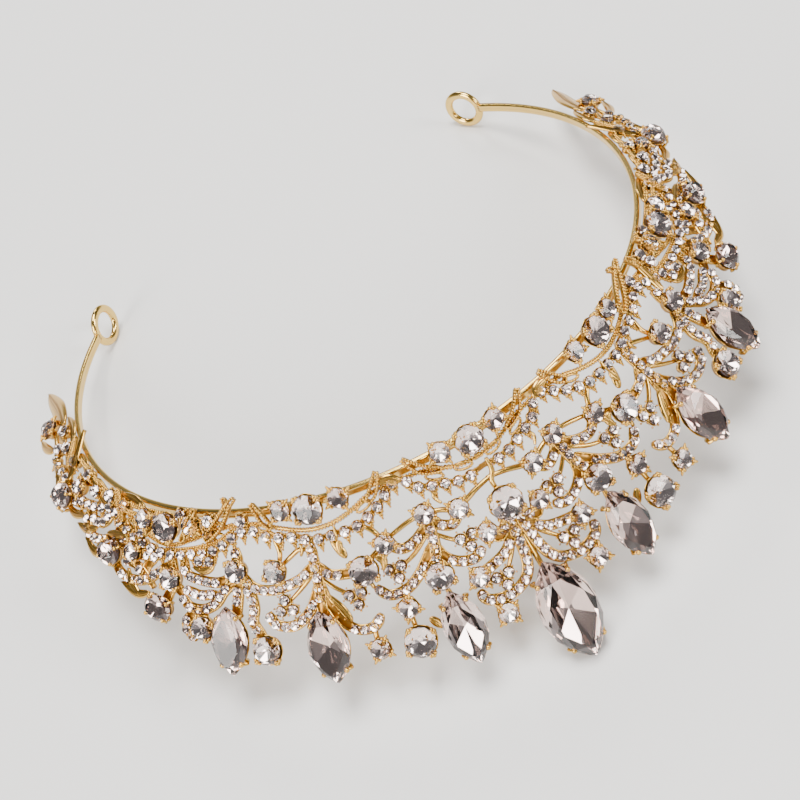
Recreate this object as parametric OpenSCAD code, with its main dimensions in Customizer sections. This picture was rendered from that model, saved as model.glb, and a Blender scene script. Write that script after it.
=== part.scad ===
// Rhinestone crown: a gold filigree front set with clear cut stones on a wire head ring.
// It is drawn in the crown's own frame, with the ring in the plane z = 0, the front at -Y and the
// peaks at +Z. Every place on the ornament is given by its angle from the front and its height along
// the flared face. The whole crown is then laid peaks down, on the tip of the middle stone and the
// two end loops, which is how it lies by itself.

/* [Head ring] */
// Diameter of the head ring, to the middle of its wire
ring_d = 140; // [130:1:150]
// Height of the flattened wire
wire_h = 2.2; // [1.8:0.1:2.6]
// Thickness of the flattened wire
wire_t = 1.4; // [1.2:0.1:1.6]
// Angle from the front at which the wire meets its end loop
end_angle = 127; // [120:1:130]

/* [End loops] */
// Diameter of the hole in each end loop
loop_bore_d = 6.4; // [5:0.2:8]
// Width of the loop's wire, seen through the loop
loop_wire = 2; // [1.6:0.1:2.4]
// Thickness of the loop along its hole
loop_t = 1.6; // [1.4:0.1:2]

/* [Flare of the face] */
// Lean of the face out from the head at the front, in degrees
front_flare = 24; // [15:1:30]
// Lean that the face gains on its way to the ends, in degrees
flare_gain = 46; // [30:1:50]
// Room between the ring's middle line and the back of the ornament
seat = 1.4; // [1.4:0.1:1.8]

/* [Metal] */
// Depth of the cast vines
vine_depth = 1.3; // [1:0.1:1.6]
// Height of the cup under a stone
cup_h = 1.7; // [1.4:0.1:2.2]
// Metal that a cup shows round its stone
cup_rim = 0.45; // [0.3:0.05:0.7]

/* [Stones] */
// Clearance between a stone and the metal under it
stone_gap = 0.1; // [0.05:0.05:0.2]
// Diameter of the smallest stones
pave_d = 2; // [1.6:0.1:2.2]
// Distance between small stones along a vine
pave_pitch = 3.1; // [2.9:0.1:4]

/* [Hidden] */
ring_r = ring_d / 2;
loop_r = loop_bore_d / 2 + loop_wire / 2;
loop_angle = end_angle + (loop_r + 0.1 * loop_wire) / ring_r * 180 / PI;
round_over = 0.4;
flare_turns = 1.35;
span_steps = 1;
pave_clear = 0.15;
leaf_clear = 1.2;
pave_r = pave_d / 2;
mirror_sides = [0, 1];
side_names = ["_left", "_right"];
accent_cup_h = 1.5;
cup_sink = 0.1;
cup_taper = 0.86;
table_share = 0.55;
gem_depth = 0.45;
gem_seat = 0.8;
round_depth = 0.42;

// The middle marquise, on the centre line: height, length, width, thickness
middle_stone = [40, 23, 12.5, 5.4];
// Pointed and oval side stones: name, angle, height, length, width, lean from upright, pointed or oval
side_gems = [
    ["marquise_1", 13, 33.2, 16.6, 8.8, 0, "pointed"],
    ["marquise_2", 30.9, 28.4, 15.6, 8.8, 0, "pointed"],
    ["marquise_3", 44.6, 25, 14.6, 8, 0, "pointed"],
    ["oval_1", 56.4, 19.7, 7.2, 5.6, 78, "oval"],
    ["oval_2", 67.6, 11.6, 7, 5.6, 84, "oval"],
    ["oval_3", 84.6, 8.6, 7.6, 5.8, 86, "oval"],
];
// Large round stones in pairs: name, angle, height, diameter
side_rounds = [
    ["band_round_1", 27.9, 0, 6.2],
    ["band_round_2", 55.4, 2.4, 6.2],
    ["round_1", 13.2, 21.8, 5.9],
    ["round_2", 19.2, 32.9, 6.6],
    ["round_3", 22.9, 15.2, 6],
    ["round_4", 39.7, 27.6, 6],
    ["round_5", 36.1, 11.5, 4.8],
    ["round_6", 42.5, 10.7, 4.8],
    ["round_7", 49.1, 22.8, 5],
    ["round_8", 54.5, 13.2, 4.8],
];
// Large round stones on the centre line: name, height, diameter
middle_rounds = [["centre_round", 14.7, 7], ["band_round_0", -0.3, 6]];
// Lesser round stones on each side: angle, height, diameter
accents = [
    [5, -1, 4.2], [22.6, -0.6, 4.2], [32.6, -0.8, 4.2], [50.2, 1.4, 4.4], [60.8, 1.8, 4.4],
    [7.1, 35, 4.2], [24.6, 31.8, 4.2], [19, 25.5, 4.2], [11.4, 8.8, 4.2], [6.5, 11, 4.2],
    [4.4, 18, 4], [8.3, 25.6, 4.2], [18.6, 11.4, 4.2], [62.8, 9.6, 4.2], [81.6, 3.9, 3.8],
    [103.2, 6.6, 4.6],
];
// Cast strands of one side: kind, width, lift off the back face, places as [angle, height].
// A vine carries small stones, a wire is bare, a leaf is bare and pointed at both ends.
strands = [
    // Garland over the band stones
    ["vine", 1.8, 0, [[-0.6, 6.8], [4.2, 6.9], [8.4, 4.9], [12.2, 2.2]]],
    ["vine", 1.8, 0, [[12, 2.2], [17, 4.9], [21.6, 7.3], [28, 8.2], [32.4, 6.2], [36, 5.2], [41.6, 3.2]]],
    ["vine", 1.8, 0, [[41.6, 3], [46.2, 6.4], [51, 7.5], [56, 8.2], [61.6, 6.9], [66.4, 5], [70, 2.6]]],
    ["vine", 1.7, 0, [[70, 2.4], [75, 4.8], [80, 6], [86, 5.6], [91, 6.2], [95, 6.6]]],
    ["wire", 1.2, 0, [[-0.6, 2.9], [5, 1.3], [9, 1.4], [12.6, 1.2]]],
    ["wire", 1.2, 0, [[12.4, 1.2], [17.4, 1.4], [22.4, 1.7], [27.9, 3.3], [32.6, 1.6], [38, 1.4], [42, 1.4]]],
    ["wire", 1.2, 0, [[42, 1.2], [46.6, 2.4], [50.4, 3.9], [55.4, 5.8], [60.8, 4.3], [66, 2.4], [70, 1.2]]],
    // Leaves that cross the band
    ["leaf", 2, 0.7, [[13.2, 4], [11.6, 0.6], [10.2, -3]]],
    ["leaf", 2, 0.7, [[12, 4], [13.4, 0.6], [14.8, -3]]],
    ["leaf", 2.6, 0.8, [[46.4, 5], [44, 0.8], [41.6, -3.2]]],
    ["leaf", 1.8, 0.8, [[35.2, 3], [36.4, 0.2], [37.6, -2.8]]],
    ["leaf", 2.4, 1, [[86, 5.4], [87.8, 0.6], [90.6, -5.2]]],
    // Middle spray, under the middle marquise
    ["vine", 1.8, 0, [[0.9, 16], [0.9, 22], [1.6, 28], [3.2, 31], [6, 32], [8.6, 30.9], [9.2, 28.4]]],
    ["wire", 1.1, 0, [[1.2, 21.6], [3, 25], [4.6, 27.6]]],
    ["vine", 1.7, 0, [[1, 20.6], [3.4, 23.6], [6, 24.8], [8.3, 25.4]]],
    ["vine", 1.7, 0, [[0.9, 17.4], [3, 20.4], [4.4, 18]]],
    ["wire", 1.4, 0, [[-0.6, 8.6], [2.6, 9.4], [6.5, 11], [9, 9.8], [11.4, 8.8]]],
    ["wire", 1.4, 0, [[0.7, 12], [0.7, 9], [0.7, 6.6]]],
    ["wire", 1.4, 0, [[0, 21], [0, 34]]],
    ["wire", 1.3, 0, [[7.4, 35], [7.8, 33], [7.6, 31]]],
    // First side spray, under the first marquise
    ["vine", 1.8, 0, [[11.4, 7.6], [11.6, 11.6], [12, 15.6], [12.8, 19.2], [13.2, 23]]],
    ["vine", 1.7, 0, [[12, 15.4], [11.5, 18.6], [9.9, 20.9], [7.7, 21.8], [5.9, 20.6]]],
    ["wire", 1.1, 0, [[11.8, 13], [9.8, 15.8], [8, 17.8]]],
    ["vine", 1.7, 0, [[11.5, 10.6], [9.8, 12.6], [8.2, 13.4], [6.5, 11.4]]],
    ["vine", 1.7, 0, [[12.2, 15.2], [13.9, 17.6], [15.8, 20], [18.2, 21.9], [20.9, 21.9], [22.3, 19.4]]],
    ["wire", 1.1, 0, [[12.2, 13], [15.2, 15.8], [17.6, 17.2]]],
    ["vine", 1.7, 0, [[11.8, 11.2], [14.2, 13.2], [16.6, 13.8], [18.6, 11.6]]],
    ["wire", 1.2, 0, [[11.6, 8.8], [14.6, 9.4], [18.4, 11]]],
    ["wire", 1.3, 0, [[13.2, 24], [13, 27], [13, 30]]],
    ["wire", 1.3, 0, [[18.2, 21.6], [19, 25.4], [19.2, 29], [19.2, 33]]],
    ["wire", 1.3, 0, [[18.8, 11.6], [21, 13.2], [22.9, 15.2], [22.6, 19.6]]],
    ["wire", 1.3, 0, [[18.6, 11.4], [19.6, 8.4], [21, 6.6]]],
    // Second side spray, under the second marquise
    ["vine", 1.8, 0, [[29.6, 6.8], [29.9, 11.6], [30.2, 16], [30.7, 20.2], [30.9, 24]]],
    ["vine", 1.7, 0, [[30, 15], [29.7, 19.6], [28.6, 24], [26.8, 26.8], [24.6, 27.2], [23, 25.2]]],
    ["wire", 1.1, 0, [[29.8, 14.4], [28, 17.4], [26.2, 19.4]]],
    ["leaf", 2, 0, [[27.2, 25], [28.3, 21.6], [29.7, 18]]],
    ["vine", 1.7, 0, [[29.8, 11.4], [28.2, 14.2], [26, 15], [23.2, 15.2]]],
    ["vine", 1.7, 0, [[30.1, 15.2], [31.4, 18.6], [33.2, 21.6], [35.6, 23.4], [38, 22.6], [38.9, 20]]],
    ["wire", 1.1, 0, [[30.1, 13], [32.8, 15.8], [35.2, 18.2]]],
    ["vine", 1.7, 0, [[30, 11.4], [32.4, 13.8], [35, 14.9], [37.8, 15.4], [40.4, 14.4], [42.4, 11]]],
    ["wire", 1.2, 0, [[29.8, 8.8], [31.6, 8], [33.2, 9], [36, 11.4]]],
    ["wire", 1.2, 0, [[36.1, 11.4], [35, 8.2], [35.4, 5.2]]],
    ["leaf", 2, 0, [[24.9, 12], [25.6, 9.8], [26.4, 7.2]]],
    ["wire", 1.3, 0, [[24.4, 27], [24.7, 29.2], [24.6, 31.8]]],
    // Third side spray, under the third marquise
    ["vine", 1.8, 0, [[42.4, 6], [42.5, 10.6], [43, 14.6], [43.8, 19.2], [44.5, 22]]],
    ["vine", 1.7, 0, [[42.6, 12.6], [41.2, 15.6], [40.9, 18.8], [41.4, 22], [40, 26]]],
    ["vine", 1.7, 0, [[43.2, 12.6], [45.4, 15], [47, 17.6], [49.2, 19], [51.6, 18.6], [52.9, 16.4]]],
    ["vine", 1.7, 0, [[43, 11.8], [46.2, 13.2], [49.4, 12.8], [51.9, 11.6], [52.4, 8]]],
    ["wire", 1.3, 0, [[49, 18.8], [49, 20.6], [49.1, 22.8]]],
    ["vine", 1.7, 0, [[49, 19.4], [51.6, 20.8], [52.2, 23.2], [50.6, 25.6]]],
    ["wire", 1.2, 0, [[45.8, 6.4], [47, 8.4], [48.4, 9.4]]],
    // Fourth side spray, which runs down to the end
    ["vine", 1.8, 0, [[55.4, 7.6], [54.7, 10.4], [54.5, 13.4], [55.4, 16.6], [56.4, 19.6]]],
    ["vine", 1.7, 0, [[55.2, 10.2], [57.6, 12.6], [60.2, 14.8], [63.2, 15.6], [66, 14.6], [67.4, 12]]],
    ["vine", 1.7, 0, [[56, 8], [59.2, 9.4], [62.8, 9.8], [65.4, 9], [68.4, 7.6]]],
    ["vine", 1.7, 0, [[52.7, 16.6], [54.2, 14.6], [56.8, 14]]],
    ["vine", 1.7, 0, [[66.6, 5], [68.6, 8.2], [71.4, 10.4], [74.4, 10.8], [76.4, 8.8], [76.6, 5.4]]],
    ["vine", 1.7, 0, [[76.2, 4.6], [79.6, 6.6], [84.6, 7.8], [89, 6]]],
    ["leaf", 2.4, 0, [[70.4, 1.4], [73.4, 3], [76.6, 5]]],
    ["leaf", 2.2, 0.1, [[77, 0.9], [80.8, 1.6], [84.6, 3]]],
    ["leaf", 2.4, 0, [[93, 7.8], [95.4, 5.6], [98, 2.6]]],
    // Plain end leaf and its stem
    ["wire", 1.6, 0.2, [[95, 6.4], [99, 5.6], [103.4, 6]]],
    ["leaf", 3.6, 0.6, [[101, 2.4], [107.6, 5.2], [114, 10.4]]],
];
// Small stones in threes at the ends of the wires: angle, height of the middle of the three
trefoils = [[5.4, 28.3], [7.4, 17.6], [18.6, 17.6], [25.4, 20.2], [35.8, 19.2], [48.2, 8]];

// Lean of the face at an angle from the front
function flare(a) = front_flare + flare_gain / 2 * (1 - cos(flare_turns * a));
// Radius and height of a place: angle, height along the face, depth out of the face
function face_r(a, h, q = 0) = ring_r + seat + h * sin(flare(a)) + q * cos(flare(a));
function face_z(a, h, q = 0) = h * cos(flare(a)) - q * sin(flare(a));
function face_point(a, h, q = 0) =
    [face_r(a, h, q) * sin(a), -face_r(a, h, q) * cos(a), face_z(a, h, q)];
// Turn that the growing lean gives the face, and the way straight out of it
function twist(a, h) =
    atan(h * flare_gain / 2 * flare_turns * sin(flare_turns * a) * PI / 180 / face_r(a, h));
function face_normal(a, h) =
    let (out = cos(twist(a, h)) * cos(flare(a)), side = sin(twist(a, h)))
    [out * sin(a) - side * cos(a), -out * cos(a) - side * sin(a), -cos(twist(a, h)) * sin(flare(a))];
function unit(v) = v / norm(v);

// A smooth curve through a strand's places
function blend(a, b, c, d, t) =
    0.5 * (2 * b + t * (c - a + t * (2 * a - 5 * b + 4 * c - d + t * (3 * b - a - 3 * c + d))));
function curve(p, n) = [
    for (i = [0 : len(p) - 2], k = [0 : n - 1])
        blend(p[max(i - 1, 0)], p[i], p[i + 1], p[min(i + 2, len(p) - 1)], k / n),
    p[len(p) - 1]
];

// Outlines of the stones, widest across X and longest along Y
function pointed(l, w, n) =
    let (arc_r = (l * l + w * w) / (4 * w))
    [for (k = [0 : n - 1])
        let (y = l / 2 * sin(k * 360 / n), x = sqrt(max(0, arc_r * arc_r - y * y)) - arc_r + w / 2)
        [(cos(k * 360 / n) < 0 ? -x : x), y]];
function oval(l, w, n) = [for (k = [0 : n - 1]) [w / 2 * cos(k * 360 / n), l / 2 * sin(k * 360 / n)]];
function outline(kind, l, w) = kind == "pointed" ? pointed(l, w, 8) : oval(l, w, 8);

// Rings of a cut stone from its back to its table: share of its outline, share of its thickness
marquise_rings = [[0.7, 0], [1, 0.28], [1, 0.36], [table_share, 1]];
round_rings = [[0.75, 0], [1, 0.3], [table_share, 1]];
function rings_of(kind) = kind == "pointed" ? marquise_rings : round_rings;
function gem_points(shape, thick, rings) =
    [for (ring = rings, p = shape) [p[0] * ring[0], p[1] * ring[0], thick * ring[1]]];

// Reach of the middle stone and of a loop in a direction square to X
middle_outline = outline("pointed", middle_stone[1], middle_stone[2]);
middle_points = [
    for (p = gem_points(middle_outline, middle_stone[3], marquise_rings))
        face_point(0, middle_stone[0] + p[1], cup_h + stone_gap + p[2])
];
loop_y = -ring_r * cos(loop_angle);
loop_edge_r = loop_r + loop_wire / 2 - round_over;
function stone_reach(dir) = max([for (p = middle_points) p * dir]);
function loop_reach(dir) =
    let (c = abs(cos(loop_angle) * dir[1]))
    loop_y * dir[1] + loop_edge_r * sqrt(1 - c * c) + (loop_t / 2 - round_over) * c + round_over;

// Tilt at which the middle stone's tip and the two loops meet the surface together
function find_tilt(lo, hi, n) =
    let (mid = (lo + hi) / 2, dir = [0, sin(mid), cos(mid)])
    n == 0 ? mid
    : stone_reach(dir) > loop_reach(dir) ? find_tilt(mid, hi, n - 1)
    : find_tilt(lo, mid, n - 1);
tilt = find_tilt(0, 45, 24);
rest_z = loop_reach([0, sin(tilt), cos(tilt)]);
back_y = loop_reach([0, cos(tilt), -sin(tilt)]);
front_y = stone_reach([0, -cos(tilt), sin(tilt)]);

// Lays the crown peaks down, with the origin under the middle of its box
module placed() {
    translate([0, (front_y - back_y) / 2, rest_z]) rotate([-tilt, 0, 0]) rotate([0, 180, 0]) children();
}

// Sets children on the face: X runs sideways, Y up the face and Z out of it
module on_face(a, h, q = 0) {
    translate(face_point(a, h)) rotate([0, 0, a]) rotate([90 + flare(a), 0, 0]) rotate([0, -twist(a, h), 0])
        translate([0, 0, q]) children();
}

// A stone with a table, rings of facets and a cut back
module gem(shape, thick, rings) {
    n = len(shape);
    top = len(rings) - 1;
    polyhedron(gem_points(shape, thick, rings), concat(
        [[for (k = [0 : n - 1]) k]],
        [for (r = [0 : top - 1], k = [0 : n - 1])
            let (a = r * n + k, b = r * n + (k + 1) % n)
            [a, a + n, b + n, b]],
        [[for (k = [n - 1 : -1 : 0]) top * n + k]]
    ));
}

// A small stone: a table turned against its outline, with two rows of facets between them
module small_gem(d, n) {
    thick = round_depth * d;
    polyhedron(
        [for (ring = [[0, 1, 0], [0.5, table_share, thick]], k = [0 : n - 1])
            let (a = (k + ring[0]) * 360 / n)
            [d / 2 * ring[1] * cos(a), d / 2 * ring[1] * sin(a), ring[2]]],
        concat(
            [[for (k = [0 : n - 1]) k]],
            [for (k = [0 : n - 1]) [k, n + k, (k + 1) % n]],
            [for (k = [0 : n - 1]) [n + k, n + (k + 1) % n, (k + 1) % n]],
            [[for (k = [n - 1 : -1 : 0]) n + k]]
        ));
}

// A tapered cup that carries a stone, and the cups of pointed, oval and round stones
module cup(shape, h) {
    hull() translate([0, 0, -cup_sink])
        linear_extrude(h + cup_sink, scale = 1 / cup_taper) scale(cup_taper) polygon(shape);
}
module gem_cup(kind, l, w) {
    cup(outline(kind, l * gem_seat, w * gem_seat), cup_h);
}
module round_cup(d, h, n) {
    cup(oval(d + 2 * cup_rim, d + 2 * cup_rim, n), h);
}

// Cross-section of each kind of strand: across its width, and out of the face
function strand_section(kind) =
    kind == "vine" ? [[-0.5, 0], [0.5, 0], [0.32, 1], [-0.32, 1]] : [[-0.5, 0.15], [0.5, 0.15], [0, 0.85]];

// Corners of a strand, which tapers at its ends
function strand_points(kind, w, lift, p) =
    let (n = len(p) - 1, line = [for (v = p) face_point(v[0], v[1])])
    [for (i = [0 : n], c = strand_section(kind))
        let (
            along = unit(line[min(i + 1, n)] - line[max(i - 1, 0)]),
            out = face_normal(p[i][0], p[i][1]),
            across = unit(cross(along, out)),
            wide = kind == "leaf" ? w * (0.15 + 0.85 * sin(180 * i / n)) : w * (i == 0 || i == n ? 0.7 : 1)
        )
        line[i] + across * wide * c[0] + out * (lift + vine_depth * c[1])];

module strand(kind, w, lift, places) {
    p = curve(places, span_steps);
    n = len(p) - 1;
    m = len(strand_section(kind));
    polyhedron(strand_points(kind, w, lift, p), concat(
        [for (k = [1 : m - 2]) [0, k + 1, k]],
        [for (k = [1 : m - 2]) [m * n, m * n + k, m * n + k + 1]],
        [for (i = [0 : n - 1], k = [0 : m - 1], half = [0, 1])
            let (a = m * i + k, b = m * i + (k + 1) % m)
            half == 0 ? [a, b, b + m] : [a, b + m, a + m]]
    ));
}

// Places of the small stones along a vine, a pitch apart
function run_length(p) = [
    for (i = 0, s = 0; i < len(p); s = s + (i + 1 < len(p) ? norm(p[i + 1] - p[i]) : 0), i = i + 1) s
];
function vine_places(p, pitch) =
    let (
        c = curve(p, 8),
        s = run_length([for (v = c) face_point(v[0], v[1])]),
        a_at = [for (i = [0 : len(c) - 1]) [s[i], c[i][0]]],
        h_at = [for (i = [0 : len(c) - 1]) [s[i], c[i][1]]]
    )
    [for (d = [pitch / 2 : pitch : s[len(s) - 1]]) [lookup(d, a_at), lookup(d, h_at)]];

// Whether a small stone at a place clears the larger stones and those kept before it
function apart(v, k) = norm(face_point(v[0], v[1]) - face_point(k[0], k[1]));
function off_round(v, a, h, d) = apart(v, [a, h]) > d / 2 + cup_rim + pave_r + pave_clear;
function off_gem(v, a, h, l, w, lean) =
    let (
        x = (v[0] - a) * PI / 180 * face_r(a, h), y = v[1] - h, m = pave_r + pave_clear,
        across = x * cos(lean) + y * sin(lean), along = y * cos(lean) - x * sin(lean)
    )
    pow(across / (w / 2 + m), 2) + pow(along / (l / 2 + m), 2) > 1;
function is_clear(v, kept) =
    face_point(v[0], v[1])[0] > pave_r + pave_clear / 2
    && off_gem(v, 0, middle_stone[0], middle_stone[1], middle_stone[2], 0)
    && len([for (s = side_gems) if (!off_gem(v, s[1], s[2], s[3], s[4], s[5])) 1]) == 0
    && len([for (s = side_rounds) if (!off_round(v, s[1], s[2], s[3])) 1]) == 0
    && len([for (s = middle_rounds) if (!off_round(v, 0, s[1], s[2])) 1]) == 0
    && len([for (s = accents) if (!off_round(v, s[0], s[1], s[2])) 1]) == 0
    && len([for (s = raised_leaves, k = curve(s[3], 4)) if (apart(v, k) < s[1] + leaf_clear) 1]) == 0
    && len([for (k = kept) if (apart(v, k) < pave_d + pave_clear) 1]) == 0;
function keep_clear(places, kept = [], i = 0) =
    i == len(places) ? kept
    : keep_clear(places, is_clear(places[i], kept) ? concat(kept, [places[i]]) : kept, i + 1);
raised_leaves = [for (s = strands) if (s[2] > 0.5) s];
trefoil_places = [
    for (t = trefoils, k = [0 : 2])
        [t[0] + 1.35 * sin(120 * k) / face_r(t[0], t[1]) * 180 / PI, t[1] + 1.35 * cos(120 * k)]
];
pave_places = keep_clear(concat(
    trefoil_places,
    [for (s = strands) if (s[0] == "vine") for (v = vine_places(s[3], pave_pitch)) v]
));

// A rounded bar for the ring and the loops, in the plane it is turned in
module bar(w, h) {
    square([w - 2 * round_over, h], center = true);
    square([w, h - 2 * round_over], center = true);
    for (x = [-1, 1], y = [-1, 1])
        translate([x * (w / 2 - round_over), y * (h / 2 - round_over)]) circle(r = round_over, $fn = 24);
}

module headband() {
    color("#d9b25f") placed() {
        rotate([0, 0, -90 - end_angle])
            rotate_extrude(angle = 2 * end_angle, $fn = 180) translate([ring_r, 0]) bar(wire_t, wire_h);
        for (m = mirror_sides) mirror([m, 0, 0])
            rotate([0, 0, loop_angle]) translate([0, -ring_r, 0]) rotate([90, 0, 0])
                rotate_extrude($fn = 64) translate([loop_r, 0]) bar(loop_wire, loop_t);
    }
}

module half_filigree() {
    for (s = strands) strand(s[0], s[1], s[2], s[3]);
    for (s = side_gems) on_face(s[1], s[2]) rotate(s[5]) gem_cup(s[6], s[3], s[4]);
    for (s = side_rounds) on_face(s[1], s[2]) round_cup(s[3], cup_h, 8);
    for (s = accents) on_face(s[0], s[1]) round_cup(s[2], accent_cup_h, 6);
    for (t = trefoils) on_face(t[0], t[1]) cylinder(h = vine_depth, r = 2, $fn = 6);
}

module filigree() {
    color("#cf9f45") placed() {
        for (m = mirror_sides) mirror([m, 0, 0]) half_filigree();
        on_face(0, middle_stone[0]) gem_cup("pointed", middle_stone[1], middle_stone[2]);
        for (s = middle_rounds) on_face(0, s[1]) round_cup(s[2], cup_h, 8);
    }
}

module marquise_0() {
    color("#eef0f4") placed() on_face(0, middle_stone[0], cup_h + stone_gap)
        gem(middle_outline, middle_stone[3], marquise_rings);
}

module side_gem(s, m) {
    color("#eef0f4") placed() mirror([m, 0, 0]) on_face(s[1], s[2], cup_h + stone_gap) rotate(s[5])
        gem(outline(s[6], s[3], s[4]), gem_depth * s[4], rings_of(s[6]));
}

module round_stone(a, h, d, m) {
    color("#eef0f4") placed() mirror([m, 0, 0]) on_face(a, h, cup_h + stone_gap)
        gem(oval(d, d, 8), round_depth * d, round_rings);
}

module accents_side(m) {
    color("#e4e6ea") placed() mirror([m, 0, 0])
        for (s = accents) on_face(s[0], s[1], accent_cup_h + stone_gap) small_gem(s[2], 6);
}

module pave_side(m) {
    color("#dcdfe4") placed() mirror([m, 0, 0])
        for (v = pave_places) on_face(v[0], v[1], vine_depth + stone_gap) small_gem(pave_d, 4);
}

headband();
filigree();
marquise_0();
for (s = middle_rounds) round_stone(0, s[1], s[2], 0);
for (s = side_gems, m = mirror_sides) side_gem(s, m);
for (s = side_rounds, m = mirror_sides)
    round_stone(s[1], s[2], s[3], m);
accents_side(0);  // accents_left
accents_side(1);  // accents_right
pave_side(0);  // pave_left
pave_side(1);  // pave_right
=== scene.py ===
import math
import random

import bpy
import numpy as np
from mathutils import Matrix, Vector


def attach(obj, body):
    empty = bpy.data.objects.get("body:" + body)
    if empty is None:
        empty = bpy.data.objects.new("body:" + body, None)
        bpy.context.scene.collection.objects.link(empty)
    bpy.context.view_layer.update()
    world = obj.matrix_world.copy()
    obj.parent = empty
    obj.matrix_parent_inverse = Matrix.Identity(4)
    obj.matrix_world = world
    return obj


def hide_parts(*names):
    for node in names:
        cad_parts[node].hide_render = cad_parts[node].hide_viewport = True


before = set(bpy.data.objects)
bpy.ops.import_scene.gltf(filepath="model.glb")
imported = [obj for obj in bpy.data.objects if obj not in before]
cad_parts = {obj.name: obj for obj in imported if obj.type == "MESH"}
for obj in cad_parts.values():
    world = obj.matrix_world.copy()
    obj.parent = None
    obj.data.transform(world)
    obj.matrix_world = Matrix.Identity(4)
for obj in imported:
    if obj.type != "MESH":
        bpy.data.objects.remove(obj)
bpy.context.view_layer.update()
print("crown: frame loaded")

mm = 0.001

# The face that carries the ornament. A place on it is an angle from the front in degrees,
# a height along the face and a depth out of it, both in millimetres.
face = {
    "ringRadius": 70.0,
    "seat": 1.4,
    "frontFlare": 24.0,
    "flareGain": 46.0,
    "flareTurns": 1.35,
}

# How the crown lies: turned over, tipped and set down on the surface
lie = {"tilt": 15.9578, "rise": 17.7187, "shift": 28.1992}


def cosSin(degrees):
    return math.cos(math.radians(degrees)), math.sin(math.radians(degrees))


def unit(rows):
    return rows / np.linalg.norm(rows, axis=-1, keepdims=True)


tiltCos, tiltSin = cosSin(lie["tilt"])
layTurn = np.array([[-1, 0, 0], [0, tiltCos, -tiltSin], [0, -tiltSin, -tiltCos]])


def layDown(points):
    # millimetres on the crown to metres on the surface
    return (np.asarray(points) @ layTurn.T + np.array([0, lie["shift"], lie["rise"]])) * mm


def flareAt(a):
    growth = 1 - math.cos(math.radians(face["flareTurns"] * a))
    return math.radians(face["frontFlare"] + face["flareGain"] / 2 * growth)


def facePoint(a, h, q=0.0):
    fl, t = flareAt(a), math.radians(a)
    r = face["ringRadius"] + face["seat"] + h * math.sin(fl) + q * math.cos(fl)
    return np.array([r * math.sin(t), -r * math.cos(t), h * math.cos(fl) - q * math.sin(fl)])


def faceFrame(a, h):
    # sideways, up the face and out of it, as rows
    (c, s), fl = cosSin(a), flareAt(a)
    side = np.array([c, s, 0.0])
    up = np.array([math.sin(fl) * s, -math.sin(fl) * c, math.cos(fl)])
    out = np.array([math.cos(fl) * s, -math.cos(fl) * c, -math.sin(fl)])
    r = face["ringRadius"] + face["seat"] + h * math.sin(fl)
    growth = math.radians(face["flareGain"] / 2 * face["flareTurns"])
    growth *= math.sin(math.radians(face["flareTurns"] * a))
    turn = math.atan(h * growth / r)
    c, s = math.cos(turn), math.sin(turn)
    return np.array([side * c + out * s, up, out * c - side * s])


def onFace(a, h, q=0.0):
    return facePoint(a, h, q), faceFrame(a, h)


def turned(axes, degrees):
    c, s = cosSin(degrees)
    side, up, out = axes
    return np.array([side * c + up * s, up * c - side * s, out])


def forEach(values, count):
    return np.broadcast_to(np.asarray(values), (count,))


def addMesh(pile, verts, faces, hollow=0.0, smooth=True, tint=0.5, skins=None):
    # a pile is a list of meshes in millimetres on the crown, with triangles and quads apart
    # each point carries its painted shade, which darkens the gold's colour, and the tint of its stone
    n = len(verts)
    faces = {size: np.asarray(faces[size], dtype=int).reshape(-1, size) for size in (3, 4)}
    pile.append({
        "verts": np.asarray(verts, dtype=float), "faces": faces,
        "hollow": forEach(hollow, n), "tint": forEach(tint, n),
        "smooth": {size: forEach(smooth, len(f)) for size, f in faces.items()},
        "skin": {size: forEach(skins[size] if skins else 0, len(f)) for size, f in faces.items()},
    })


def mirrored(pile):
    # the same work on the other half of the crown
    return [dict(part, verts=part["verts"] * np.array([-1, 1, 1]),
                 faces={size: f[:, ::-1] for size, f in part["faces"].items()}) for part in pile]


def stamp(pile, shape, origins, frames, scales, tint=0.5, hollow=None):
    # copies of one small shape, with one frame and size for all or one for each
    origins = np.reshape(origins, (-1, 3))
    count, size = len(origins), len(shape["verts"])
    if count == 0:
        return
    scales = np.asarray(scales, dtype=float)
    if scales.ndim < 2:
        scales = forEach(scales, count)[:, None] * np.ones(3)
    local = shape["verts"][None] * scales[:, None, :]
    frames = np.broadcast_to(frames, (count, 3, 3))
    verts = origins[:, None, :] + np.einsum("nvi,nij->nvj", local, frames)
    faces, skins = {}, {}
    for sides in (3, 4):
        some = np.asarray(shape["faces"][sides], dtype=int).reshape(-1, sides)
        faces[sides] = (some[None] + (np.arange(count) * size)[:, None, None]).reshape(-1, sides)
        skins[sides] = np.tile(forEach(shape["skin"][sides] if "skin" in shape else 0, len(some)), count)
    hollows = forEach(shape.get("hollow", 0.0) if hollow is None else hollow, size)
    addMesh(pile, verts.reshape(-1, 3), faces, np.tile(hollows, count), shape.get("smooth", True),
            np.repeat(forEach(tint, count), size), skins)


def addObject(name, data):
    thing = bpy.data.objects.new(name, data)
    bpy.context.scene.collection.objects.link(thing)
    return thing


pieceFaces = {}


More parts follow.
